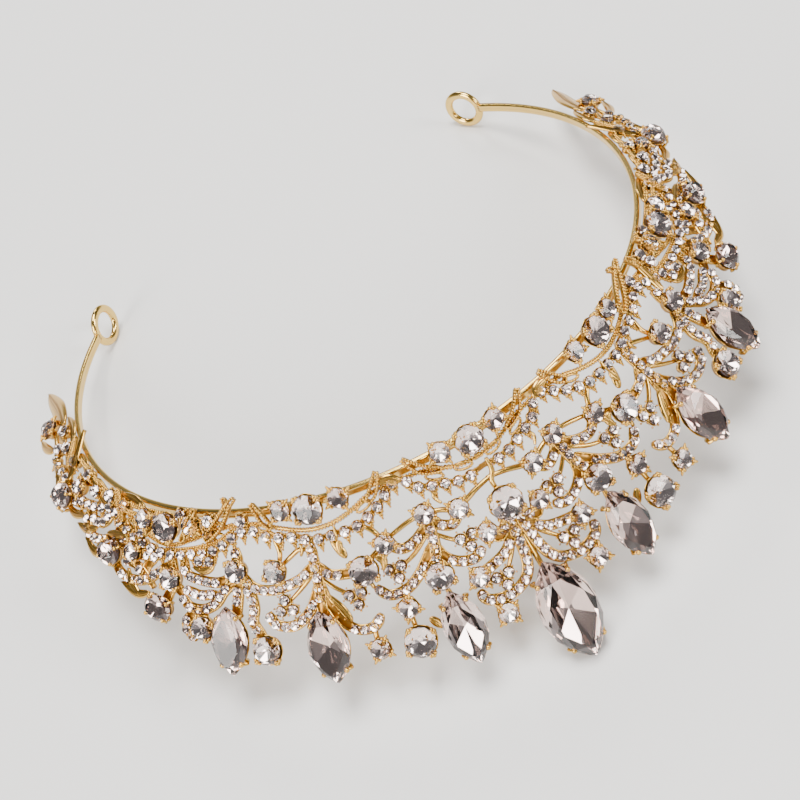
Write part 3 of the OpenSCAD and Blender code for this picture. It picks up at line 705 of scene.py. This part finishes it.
def cupShape(kind, length, width, high, scallops):
    n = cupLook["segments"]
    verts, shade = [[0, 0, 0]], [0.5]
    for scale, z, swell, lift, dark in cupLook["rows"]:
        for j in range(n):
            a = 2 * math.pi * j / n
            wave = math.cos(scallops * a) if scallops else 0
            x, y = rim(kind, length, width, a)
            grow = scale + swell * wave
            verts.append([x * grow, y * grow, high * (z + lift * wave)])
            shade.append(dark)
    verts.append([0, 0, high * cupLook["floor"][0]])
    shade.append(cupLook["floor"][1])
    return {"verts": np.array(verts, dtype=float), "faces": poled(n, len(cupLook["rows"])),
            "hollow": np.array(shade)}


smallCup = cupShape("round", 1, 1, 0.5, 0)

# outline of each kind of strand: across it, out of the face, and the painted shade there
stripSection = [(-0.5, 0.1, 0.4), (-0.35, 0, 0.5), (0.35, 0, 0.5), (0.5, 0.1, 0.4), (0.5, 0.6, 0.35),
                (0.36, 0.72, 0.8), (-0.36, 0.72, 0.8), (-0.5, 0.6, 0.35)]
leafSection = [(-0.5, 0.25, 0.3), (0, 0.05, 0.5), (0.5, 0.25, 0.3), (0.46, 0.42, 0), (0.2, 0.52, 0.15),
               (0.06, 0.46, 0.8), (0, 0.66, 0), (-0.06, 0.46, 0.8), (-0.2, 0.52, 0.15), (-0.46, 0.42, 0)]
# angle, height, length, width, lean and outline of every stone that the smaller ones keep clear of
bigStones = [row[1:] for row in [middleGem] + sideGems]
bigStones += [(a, h, d, d, 0, "round") for name, a, h, d in sideRounds + middleRounds]
bigStones += [(a, h, d, d, 0, "round") for a, h, d in accents]


def isOpen(a, h, reach):
    # whether a small stone's place is clear of the larger stones
    here = facePoint(a, h)
    for ga, gh, length, width, lean, kind in bigStones:
        away = here - facePoint(ga, gh)
        if np.dot(away, away) > (length / 2 + reach + 1) ** 2:
            continue
        side, up, out = faceFrame(ga, gh)
        (c, s), x, y = cosSin(lean), away @ side, away @ up
        x, y = x * c + y * s, y * c - x * s
        if kind == "pointed":
            arc = (length ** 2 + width ** 2) / (4 * width)
            inside = math.hypot(abs(x) + arc - width / 2, y) < arc + reach and abs(y) < length / 2 + reach
        else:
            inside = (x / (width / 2 + reach)) ** 2 + (y / (length / 2 + reach)) ** 2 < 1
        if inside:
            return False
    return True


def runOf(points):
    # how far along a line each of its points is
    return np.concatenate([[0], np.cumsum(np.linalg.norm(np.diff(points, axis=0), axis=1))])


def evenly(line, centres, pitch, start=0.5, spare=0.35):
    # places about a pitch apart along a line, squeezed a little where one more nearly fits
    run = runOf(centres)
    count = max(1, int(run[-1] / pitch + spare))
    gap = run[-1] / count
    at = [gap * (start + k) for k in range(count)]
    return [(np.interp(d, run, line[:, 0]), np.interp(d, run, line[:, 1])) for d in at], gap


metal = {word: [] for word in ("vines", "wires", "leaves", "beads", "cups")}
middleMetal = []


def addBeads(places, frames, sizes):
    stamp(metal["beads"], smallBead, places, frames, sizes)


# gaps of the small stones to the larger ones and to the middle of the crown
paveLook = {"keepOff": -0.25, "fromMiddle": 0.02}
paveSpots, keptPoints = [], []


def addStones(spots, lift, size, depth, share=0.9):
    # keeps the small stones that clear the larger ones and each other
    kept = []
    for a, h in spots:
        here = facePoint(a, h)
        if here[0] < size / 2 + paveLook["fromMiddle"] or not isOpen(a, h, size / 2 + paveLook["keepOff"]):
            continue
        if any(np.dot(here - k, here - k) < (size * share) ** 2 for k in keptPoints):
            continue
        keptPoints.append(here)
        paveSpots.append((a, h, lift + depth, size))
        kept.append((a, h))
    return kept


vineLook = {
    "perSpan": 6,
    "tip": 0.6,
    "tipRun": 3,
    "wide": 0.9,
    "deep": 1.15,
    "rail": 0.22,
    "wideRail": 0.36,
    "railDeep": 1.5,
    "railReach": 0.54,
    "railHigh": 0.62,
    "railSides": 6,
    "railShade": 0.05,
    "stone": 2.0,
    "pitch": 2.02,
    "seat": 0.8,
    "claw": 0.27,
    "clawReach": 0.42,
    "clawHigh": 0.3,
    "clawClear": 0.1,
}


def addVine(width, lift, places):
    line, centres, across, outs, along = stationsOf(places, vineLook["perSpan"], lift)
    n, deep, tip = len(centres), vineLook["deep"], vineLook["tip"]
    taper = np.minimum(1, tip + (1 - tip) * np.minimum(np.arange(n), np.arange(n)[::-1]) / vineLook["tipRun"])
    addSweep(metal["vines"], centres, across, outs, stripSection, width * vineLook["wide"] * taper, deep)
    turning = np.einsum("ij,ij->i", np.cross(along[:-1], along[1:]), outs[1:]).sum()
    for hand in (-1, 1):
        # the rail outside the bend is the wider one
        thick = vineLook["wideRail"] if hand * turning > 0 else vineLook["rail"]
        rail = centres + across * (hand * width * vineLook["railReach"] * taper)[:, None]
        addSweep(metal["vines"], rail + outs * deep * vineLook["railHigh"], across, outs,
                 circle(vineLook["railSides"]), thick * taper, vineLook["railDeep"] * thick * taper,
                 vineLook["railShade"])
    spots, gap = evenly(line, centres, vineLook["pitch"])
    addStones(spots, lift, vineLook["stone"], vineLook["seat"])
    claws, frames = [], []
    for a, h in evenly(line, centres, gap, 0.0)[0][1:]:
        if not isOpen(a, h, vineLook["clawClear"]):
            continue
        near = np.argmin(np.linalg.norm(line - np.array([a, h]), axis=1))
        for hand in (-1, 1):
            claws.append(facePoint(a, h, lift) + across[near] * hand * width * vineLook["clawReach"]
                         + outs[near] * (deep + vineLook["clawHigh"]))
            frames.append(faceFrame(a, h))
    addBeads(claws, frames, vineLook["claw"])


garlandLook = {
    "pitch": 2.75,
    "stone": 2.1,
    "seat": 1.0,
    "cup": 2.5,
    "strapWide": 1.0,
    "strapDeep": 1.2,
    # grains round each stone and down to a point below it, then those between the stones
    "drop": [(-0.75, 0.75, 1.4, 0.26), (0.75, 0.75, 1.4, 0.26), (-0.75, -0.75, 1.4, 0.26),
             (0.75, -0.75, 1.4, 0.26), (-0.5, 1.3, 0.95, 0.4), (0.5, 1.3, 0.95, 0.4), (0, 1.6, 1.05, 0.42),
             (-0.22, 1.95, 0.85, 0.32), (0.22, 1.95, 0.85, 0.32), (0, 2.3, 0.85, 0.34), (0, 2.75, 0.8, 0.26)],
    "link": [(0, -0.55, 0, 0.3), (-0.3, 0.1, 0, 0.3), (0.3, 0.1, 0, 0.3), (0, 0.7, 0, 0.3)],
    "linkHigh": 0.95,
}


def addGrains(places, grains, lift):
    # the same few grains at each place: sideways, up, out, size
    beads = [(facePoint(a, h, lift) + np.array(at) @ faceFrame(a, h), faceFrame(a, h), size)
             for a, h in places for *at, size in grains]
    if beads:
        addBeads(*zip(*beads))


def addGarland(width, lift, places):
    # set stones strung apart, each with a granulated drop below it
    line, centres, across, outs, along = stationsOf(places, vineLook["perSpan"], lift)
    addSweep(metal["vines"], centres, across, outs, stripSection, garlandLook["strapWide"],
             garlandLook["strapDeep"])
    spots, gap = evenly(line, centres, garlandLook["pitch"])
    kept = addStones(spots, lift, garlandLook["stone"], garlandLook["seat"])
    for a, h in kept:
        stamp(metal["cups"], smallCup, *onFace(a, h, lift), garlandLook["cup"])
    addGrains(kept, garlandLook["drop"], lift)
    addGrains(evenly(line, centres, gap, 0.0)[0][1:], garlandLook["link"], lift + garlandLook["linkHigh"])


wireLook = {
    "perSpan": 6,
    "sides": 8,
    "middle": 0.55,
    "share": 0.56,
    "tip": 0.62,
    "shade": 0.05,
    "thick": {"wire": 0.85, "middle": 0.85, "beaded": 0.5},
    "grain": 0.37,
    "grainPitch": 0.7,
    "grainHigh": 0.15,
    "grainApart": 0.75,
    "grainShift": 0.25,
}


def addRopeLine(line, lift):
    # two rows of grains that wind round each other
    grain, pitch = wireLook["grain"], wireLook["grainPitch"]
    centres = np.array([facePoint(a, h, lift) for a, h in line])
    spots, gap = evenly(line, centres, pitch)
    beads, frames = [], []
    for i, (a, h) in enumerate(spots):
        near = min(len(line) - 2, int(i / len(spots) * (len(line) - 1)))
        along = unit(centres[near + 1] - centres[near])
        across = np.cross(along, faceFrame(a, h)[2])
        for hand in (-1, 1):
            beads.append(facePoint(a, h, lift) + across * hand * grain * wireLook["grainApart"]
                         + along * hand * pitch * wireLook["grainShift"])
            frames.append(faceFrame(a, h))
    addBeads(beads, frames, grain)


def addWire(width, lift, places, kind="wire"):
    high = lift + wireLook["middle"]
    line, centres, across, outs, along = stationsOf(places, wireLook["perSpan"], high)
    swell = np.sin(math.pi * np.linspace(0.05, 0.95, len(centres)))
    size = width * wireLook["share"] * (wireLook["tip"] + (1 - wireLook["tip"]) * swell)
    size *= wireLook["thick"][kind]
    pile = middleMetal if kind == "middle" else metal["wires"]
    addSweep(pile, centres, across, outs, circle(wireLook["sides"]), size, size, wireLook["shade"])
    if kind == "beaded":
        addRopeLine(line, high + wireLook["grainHigh"])


loopLook = {"core": 0.32, "coreSides": 5, "shade": 0.2, "crowd": 1.15, "fewest": 8}


def addLoop(width, lift, places):
    # a small open loop of roped wire, longer than it is wide
    (a, h), (la, lh) = places
    high = lift + wireLook["middle"]
    middle, axes = onFace(a, h, high)
    aim = facePoint(a + la, h + lh, high) - middle
    x, y = aim @ axes[0], aim @ axes[1]
    long = math.hypot(x, y)
    ways = np.array([[x / long, y / long, 0], [-y / long, x / long, 0]]) @ axes
    count = int(math.pi * (long + width / 2) / wireLook["grainPitch"] * loopLook["crowd"])
    count = max(loopLook["fewest"], count)
    ring = np.array([middle + ways[0] * long * c + ways[1] * width / 2 * s for c, s in circle(count)])
    addBeads(ring, axes, wireLook["grain"])
    run = np.roll(ring, -1, axis=0) - np.roll(ring, 1, axis=0)
    addSweep(metal["wires"], ring, unit(np.cross(run, axes[2])), np.tile(axes[2], (count, 1)),
             circle(loopLook["coreSides"]), loopLook["core"], loopLook["core"], loopLook["shade"],
             closed=True)


leafLook = {"perSpan": 8, "deep": 1.7, "tip": 0.1, "skew": 0.85, "full": 0.8}


def addLeaf(width, lift, places):
    line, centres, across, outs, along = stationsOf(places, leafLook["perSpan"], lift)
    swell = np.sin(math.pi * np.linspace(0, 1, len(centres)) ** leafLook["skew"]) ** leafLook["full"]
    wide = width * (leafLook["tip"] + (1 - leafLook["tip"]) * swell)
    addSweep(metal["leaves"], centres, across, outs, leafSection, wide, leafLook["deep"])


ropeLook = {
    "bead": 0.27,
    "gain": 0.1,
    "pitch": 1.2,
    "long": 0.62,
    "slant": 24,
    "open": 0.24,
    "high": 0.6,
    "core": (0.75, 1.3),
    "coreSides": 6,
    "shade": 0.35,
    "skew": 0.8,
    "apart": 0.6,
}


def addRope(width, lift, places):
    # a leaf of two beaded rows that meet at both ends, over thin cores
    line, centres, across, outs, along = stationsOf(places, leafLook["perSpan"], lift)
    n = len(centres)
    part = np.sin(math.pi * np.linspace(0, 1, n) ** ropeLook["skew"])
    grain = ropeLook["bead"] + ropeLook["gain"] * width
    coreWide, coreDeep = ropeLook["core"]
    for hand in (-1, 1):
        apart = (hand * (ropeLook["apart"] * grain + ropeLook["open"] * width * part))[:, None]
        row = centres + across * apart + outs * ropeLook["high"]
        addSweep(metal["leaves"], row, across, outs, circle(ropeLook["coreSides"]), coreWide * grain,
                 coreDeep * grain, ropeLook["shade"])
        run = runOf(row)
        count = int(run[-1] / (ropeLook["pitch"] * grain))
        at = np.linspace(0, run[-1], count)
        beads = np.stack([np.interp(at, run, row[:, k]) for k in range(3)], 1)
        near = np.rint(np.interp(at, run, np.arange(n))).astype(int)
        frames = [turned(rows, hand * ropeLook["slant"])
                  for rows in np.stack([across[near], along[near], outs[near]], 1)]
        sizes = np.tile([grain, grain * ropeLook["long"], grain], (count, 1))
        addBeads(beads + outs[near] * grain, frames, sizes)


studLook = {
    "seat": 1.1,
    "share": 0.8,
    "cupRim": 0.5,
    "cupDeep": 0.9,
    # reach, height and size of the grains up each claw
    "claw": [(0.5, 1.5, 0.36), (0.62, 1.1, 0.36), (0.7, 0.75, 0.3)],
}


def addStud(size, lift, places):
    # a small claw-set stone close to the band
    wide = size + studLook["cupRim"]
    for a, h in addStones(places, lift, size, studLook["seat"], studLook["share"]):
        origin, axes = onFace(a, h, lift)
        stamp(metal["cups"], smallCup, origin, axes, [[wide, wide, size * studLook["cupDeep"]]])
        t = np.radians(np.arange(4) * 90 + 45)
        for far, high, grain in studLook["claw"]:
            ring = np.stack([np.cos(t) * size * far, np.sin(t) * size * far, 0 * t + high], 1)
            addBeads(origin + ring @ axes, axes, grain)


makers = {"vine": addVine, "garland": addGarland, "loop": addLoop, "leaf": addLeaf, "rope": addRope,
          "stud": addStud, "wire": addWire}


def addStrands(table):
    for kind, width, lift, *run in table:
        places = list(zip(run[::2], run[1::2]))
        if kind in makers:
            makers[kind](width, lift, places)
        else:
            addWire(width, lift, places, kind)


def addSided(table, side):
    # strands of one side only, on top of the mirrored work
    wholes = dict(metal)
    metal.update({word: [] for word in metal})
    addStrands(table)
    for word, whole in wholes.items():
        metal[word] = whole + (mirrored(metal[word]) if side else metal[word])


addStrands(strands + fineWork)
print("crown: strands", len(strands), "small stones a side", len(paveSpots))


# claws of the round stones, in grains: turn about the stone, reach past its edge, height, size
clawLook = {
    "claws": 4,
    "bead": 0.37,
    "step": 0.52,
    "tip": [(0, 0.0, 0.36, 1.0), (0, 0.42, -0.05, 1.3)],
    "point": [(0, 0.8, -0.1, 1.05), (0, 1.1, -0.1, 0.75)],
    "root": [(-1, 0.22, -0.1, 1.1), (1, 0.22, -0.1, 1.1), (-1, 0.15, -0.6, 1.2), (1, 0.15, -0.6, 1.2)],
    "turn": (20, 70),
    "middleTurn": 45,
    "grow": (0.75, 0.05),
    "level": 0.2,
}


def addRoundSetting(pile, a, h, d, high, phase, pointed=False):
    # a cup with claws of small grains that close over the stone's edge
    origin, axes = onFace(a, h)
    outer = d + 2 * cupLook["rim"]
    stamp(pile, cupShape("round", outer, outer, high, cupLook["scallops"]), origin, axes, 1.0)
    grain = clawLook["bead"] * (clawLook["grow"][0] + clawLook["grow"][1] * d)
    level = high + clawLook["level"] * d
    spots, sizes = [], []
    for k in range(clawLook["claws"]):
        t = math.radians(phase + 360 / clawLook["claws"] * k)
        for turn, reach, lift, share in clawLook["tip"] + clawLook["point"] * pointed + clawLook["root"]:
            w = t + turn * clawLook["step"] / (d / 2)
            spots.append([(d / 2 + reach) * math.cos(w), (d / 2 + reach) * math.sin(w), level + lift])
            sizes.append(grain * share)
    stamp(pile, smallBead, origin + np.array(spots) @ axes, axes, sizes)


# claws of the long stones: where on the outline, then foot, knee and tip from there
gemClawLook = {
    "pointed": {"angle": math.asin(0.68), "thick": 0.5},
    "oval": {"angle": math.radians(42), "thick": 0.38},
    "cup": (0.88, 0.92),
    "foot": (0.84, 0.95, 0.8),
    "knee": (0.28, 1.01, 2.0),
    "tip": (-0.25, 0.98, 2.1),
    "taper": (1.1, 1, 0.95, 0.7),
    "sides": 6,
    "shade": 0.1,
    "end": 1.25,
    "lean": 0.01,
}


def addProng(pile, origin, axes, claw, thick):
    # a claw from the cup over the stone's edge, in the setting's own axes
    foot, knee, tip = claw
    points = origin + np.array([foot, (foot + knee) / 2, knee, tip]) @ axes
    along = unit(np.gradient(points, axis=0))
    side = unit(np.cross(along, axes[2] + gemClawLook["lean"] * axes[0]))
    size = thick * np.array(gemClawLook["taper"])
    addSweep(pile, points, side, np.cross(side, along), circle(gemClawLook["sides"]), size, size,
             gemClawLook["shade"])
    stamp(pile, bead, points[-1], axes, thick * gemClawLook["end"])


def addGemSetting(pile, a, h, length, width, lean, kind, deep):
    axes, origin = turned(faceFrame(a, h), lean), facePoint(a, h)
    cupLong, cupWide = gemClawLook["cup"]
    stamp(pile, cupShape(kind, length * cupLong, width * cupWide, cupLook["high"], 0), origin, axes, 1.0)
    look = gemClawLook[kind]
    x, y = rim(kind, length, width, look["angle"])
    foot, knee, tip = gemClawLook["foot"], gemClawLook["knee"], gemClawLook["tip"]
    claw = np.array([(x * foot[0], y * foot[1], foot[2]), (x + knee[0], y * knee[1], knee[2]),
                     (x + tip[0], y * tip[1], tip[2] + deep / 2)])
    for hand in ((-1, -1), (-1, 1), (1, -1), (1, 1)):
        addProng(pile, origin, axes, claw * (*hand, 1), look["thick"])


trefoilLook = {
    "reach": 1.5,
    "cup": 2.6,
    "stone": 2.1,
    "plate": (1.15, 1.15, 0.5),
    "plateHigh": 0.6,
    "middle": 0.45,
    "high": 1.35,
    "seat": 1.0,
    "share": 0.7,
    "shade": 0.8,
    "turnedFrom": 30,
    # grains about each stone: turn from its direction, distance from the middle, size
    "grains": [(60, 1.2, 0.34), (60, 1.75, 0.3), (-30, 2.75, 0.26), (30, 2.75, 0.26), (0, 2.95, 0.28)],
}


def addTrefoil(pile, a, h):
    side, up, out = axes = faceFrame(a, h)
    centre, reach, high = facePoint(a, h), trefoilLook["reach"], trefoilLook["high"]
    stamp(pile, bead, centre + out * trefoilLook["plateHigh"], axes, [trefoilLook["plate"]],
          hollow=trefoilLook["shade"])
    stamp(metal["beads"], bead, centre + out * high, axes, trefoilLook["middle"])
    for k in range(3):
        t = math.radians(120 * k + 60 * (a > trefoilLook["turnedFrom"]))
        spot = (a + math.degrees(reach * math.sin(t) / math.hypot(*centre[:2])), h + reach * math.cos(t))
        stamp(metal["cups"], smallCup, *onFace(*spot), trefoilLook["cup"])
        addStones([spot], 0, trefoilLook["stone"], trefoilLook["seat"], trefoilLook["share"])
        for turn, far, size in trefoilLook["grains"]:
            w = t + math.radians(turn)
            place = centre + side * far * math.sin(w) + up * far * math.cos(w) + out * high
            addBeads(place, axes, size)


# the large stones: depth, mostly by width, seat in the cup, cut and tint, from clear to warm
gemLook = {
    "deep": 0.45,
    "middleDeep": 5.4,
    "roundDeep": 0.42,
    "seat": 1.8,
    "sink": 0.55,
    "girdle": 0.42,
    "band": 0.12,
    "cut": {"pointed": {"table": 0.72, "star": 0.9}},
    "roundTurn": 110,
    "longTint": (0.5, 1),
    "roundTint": (0, 0.4),
    "middleTint": 0.8,
}
settings, clawTurn = [], random.Random(7)
for name, *row in sideGems:
    addGemSetting(settings, *row, gemLook["deep"] * row[3])
for name, a, h, d in sideRounds:
    addRoundSetting(settings, a, h, d, cupLook["high"], clawTurn.uniform(*clawLook["turn"]))
for a, h, d in accents:
    addRoundSetting(settings, a, h, d, cupLook["accentHigh"], clawTurn.uniform(*clawLook["turn"]), True)
for a, h in trefoils:
    addTrefoil(settings, a, h)
settings += mirrored(settings)
for name, a, h, d in middleRounds:
    addRoundSetting(settings, a, h, d, cupLook["high"], clawLook["middleTurn"])
addGemSetting(settings, *middleGem[1:], gemLook["middleDeep"])
for word in metal:
    metal[word] += mirrored(metal[word])
for side, hand in enumerate(("left", "right")):
    addSided(sidedWork[hand], side)

makePiece("vines", metal["vines"], [castGold], ["filigree"])
for name, pile in (("scroll_wires", metal["wires"]), ("leaves", metal["leaves"]),
                   ("middle_wires", middleMetal), ("small_cups", metal["cups"]),
                   ("grain_beads", metal["beads"]), ("stone_settings", settings)):
    makePiece(name, pile, [castGold])
print("crown: metalwork ready")


def makeStones(name, pile, side, node):
    makePiece(name, mirrored(pile) if side else pile, [clearStone, stoneFoil], [node])


def oneStone(name, a, h, length, width, lean, kind, thick, side, tint):
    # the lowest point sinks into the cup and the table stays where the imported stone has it
    base, top = gemLook["seat"] - gemLook["sink"], gemLook["seat"] + thick
    shape = cutStone(kind, length, width, (top - base) * gemLook["girdle"], gemLook["band"], top - base,
                     **gemLook["cut"].get(kind, {}))
    axes = turned(faceFrame(a, h), lean + (tint * gemLook["roundTurn"] if kind == "round" else 0))
    pile = []
    stamp(pile, shape, facePoint(a, h, base), axes, 1.0, tint)
    makeStones(name + "_cut", pile, side, name)


def oneRound(name, a, h, d, side):
    oneStone(name, a, h, d, d, 0, "round", gemLook["roundDeep"] * d, side,
             stoneTint.uniform(*gemLook["roundTint"]))


stoneTint = random.Random(3)
for side, ending in enumerate(("_left", "_right")):
    for name, *row in sideGems:
        oneStone(name + ending, *row, gemLook["deep"] * row[3], side, stoneTint.uniform(*gemLook["longTint"]))
    for name, a, h, d in sideRounds:
        oneRound(name + ending, a, h, d, side)
for name, a, h, d in middleRounds:
    oneRound(name, a, h, d, 0)
oneStone(*middleGem, gemLook["middleDeep"], 0, gemLook["middleTint"])

# fields of lesser and smallest stones
accentLook = {"seat": 1.2, "girdle": 0.21, "band": 0.06, "extra": 0.4}
paveCut = {"girdle": 0.25, "band": 0.02, "high": 0.55, "table": 0.55, "mains": 6}
fieldLook = {"tint": (0, 0.5), "paveDeep": 1.2, "paveTurn": (0, 60)}
for side, ending in enumerate(("_left", "_right")):
    pile = []
    for a, h, d in accents:
        shape = cutStone("round", d, d, accentLook["girdle"] * d, accentLook["band"],
                         gemLook["roundDeep"] * d + accentLook["extra"])
        stamp(pile, shape, *onFace(a, h, accentLook["seat"]), 1.0, stoneTint.uniform(*fieldLook["tint"]))
    makeStones("accent_stones" + ending, pile, side, "accents" + ending)
    pile = []
    stamp(pile, cutStone("round", 1, 1, **paveCut), [facePoint(a, h, q) for a, h, q, size in paveSpots],
          [turned(faceFrame(a, h), stoneTint.uniform(*fieldLook["paveTurn"])) for a, h, q, size in paveSpots],
          [[size, size, size * fieldLook["paveDeep"]] for a, h, q, size in paveSpots],
          [stoneTint.uniform(*fieldLook["tint"]) for spot in paveSpots])
    makeStones("pave_stones" + ending, pile, side, "pave" + ending)
print("crown: stones ready")

surfaceLook = {"size": 8.0, "color": (0.78, 0.775, 0.765, 1), "rough": 0.55}
corners = np.array([(-1, -1, 0), (1, -1, 0), (1, 1, 0), (-1, 1, 0)]) * surfaceLook["size"] / 2
floorMesh = bpy.data.meshes.new("pale_floor")
floorMesh.from_pydata(corners.tolist(), [], [(0, 1, 2, 3)])
floor = addObject("pale_floor", floorMesh)
floorMaterial, tree, shader = newMaterial("pale_surface", surfaceLook["color"])
feed(tree, shader, {"Base Color": surfaceLook["color"], "Roughness": surfaceLook["rough"]})
floorMesh.materials.append(floorMaterial)

# a studio room, pale near the ground and dim overhead
roomLook = {"color": (0.8, 0.82, 0.86, 1), "low": 0.66, "high": 0.155, "from": 0.0, "to": 0.45}
world = bpy.data.worlds.new("studio")
bpy.context.scene.world = world
world.use_nodes = True
room = world.node_tree
rise = addNode(room, "SeparateXYZ", {"Vector": addNode(room, "TexCoord", {})["Generated"]})["Z"]
fade = addNode(room, "MapRange", {"Value": rise, "From Min": roomLook["from"], "From Max": roomLook["to"],
                                  "To Min": roomLook["low"], "To Max": roomLook["high"]})
feed(room, room.nodes["Background"].inputs, {"Color": roomLook["color"], "Strength": fade["Result"]})

# soft panels: place, width, height, power, color
panels = {
    "overhead_panel": ((0.14, 0.28, 2.2), 1.1, 1.1, 76, (1, 0.98, 0.95)),
    "left_panel": ((-1.92, -0.96, 1.24), 0.96, 1.38, 68, (1, 0.97, 0.93)),
    "right_panel": ((1.8, -1.38, 1.38), 0.69, 1.1, 46, (0.95, 0.97, 1)),
    "back_panel": ((0.42, 2.2, 1.5), 0.69, 0.69, 26, (1, 0.98, 0.95)),
    "front_panel": ((-0.28, -2.34, 0.96), 0.55, 0.55, 19, (1, 0.98, 0.95)),
}
aimHigh = {"overhead_panel": 0}
for name, (at, width, height, power, color) in panels.items():
    light = bpy.data.lights.new(name, "AREA")
    light.shape, light.size, light.size_y = "RECTANGLE", width, height
    light.energy, light.color = power, color
    lamp = addObject(name, light)
    lamp.location = at
    aim = Vector((0, 0, aimHigh.get(name, 0.02)))
    lamp.rotation_euler = (aim - Vector(at)).to_track_quat("-Z", "Y").to_euler()

# the view of the photograph, in the crown's own axes
view = {
    "at": (34.26, -341.17, -211.0),
    "down": (0.52268, -0.46419, 0.71507),
    "ahead": (-0.07829, 0.80909, 0.58245),
    "lens": 78.07,
    "sensor": 36.0,
    "nearest": 0.01,
}
ahead = unit(layTurn @ np.array(view["ahead"]))
down = layTurn @ np.array(view["down"])
down = unit(down - ahead * (down @ ahead))
right = np.cross(down, ahead)
camera = addObject("view", bpy.data.cameras.new("view"))
camera.data.lens, camera.data.sensor_width = view["lens"], view["sensor"]
camera.data.clip_start = view["nearest"]
turn = Matrix([[right[i], -down[i], -ahead[i]] for i in range(3)]).to_4x4()
camera.matrix_world = Matrix.Translation(Vector(layDown([view["at"]])[0])) @ turn
bpy.context.scene.camera = camera

most = max(pieceFaces, key=pieceFaces.get)
print("crown: triangles added", sum(pieceFaces.values()), "most in", most, pieceFaces[most])
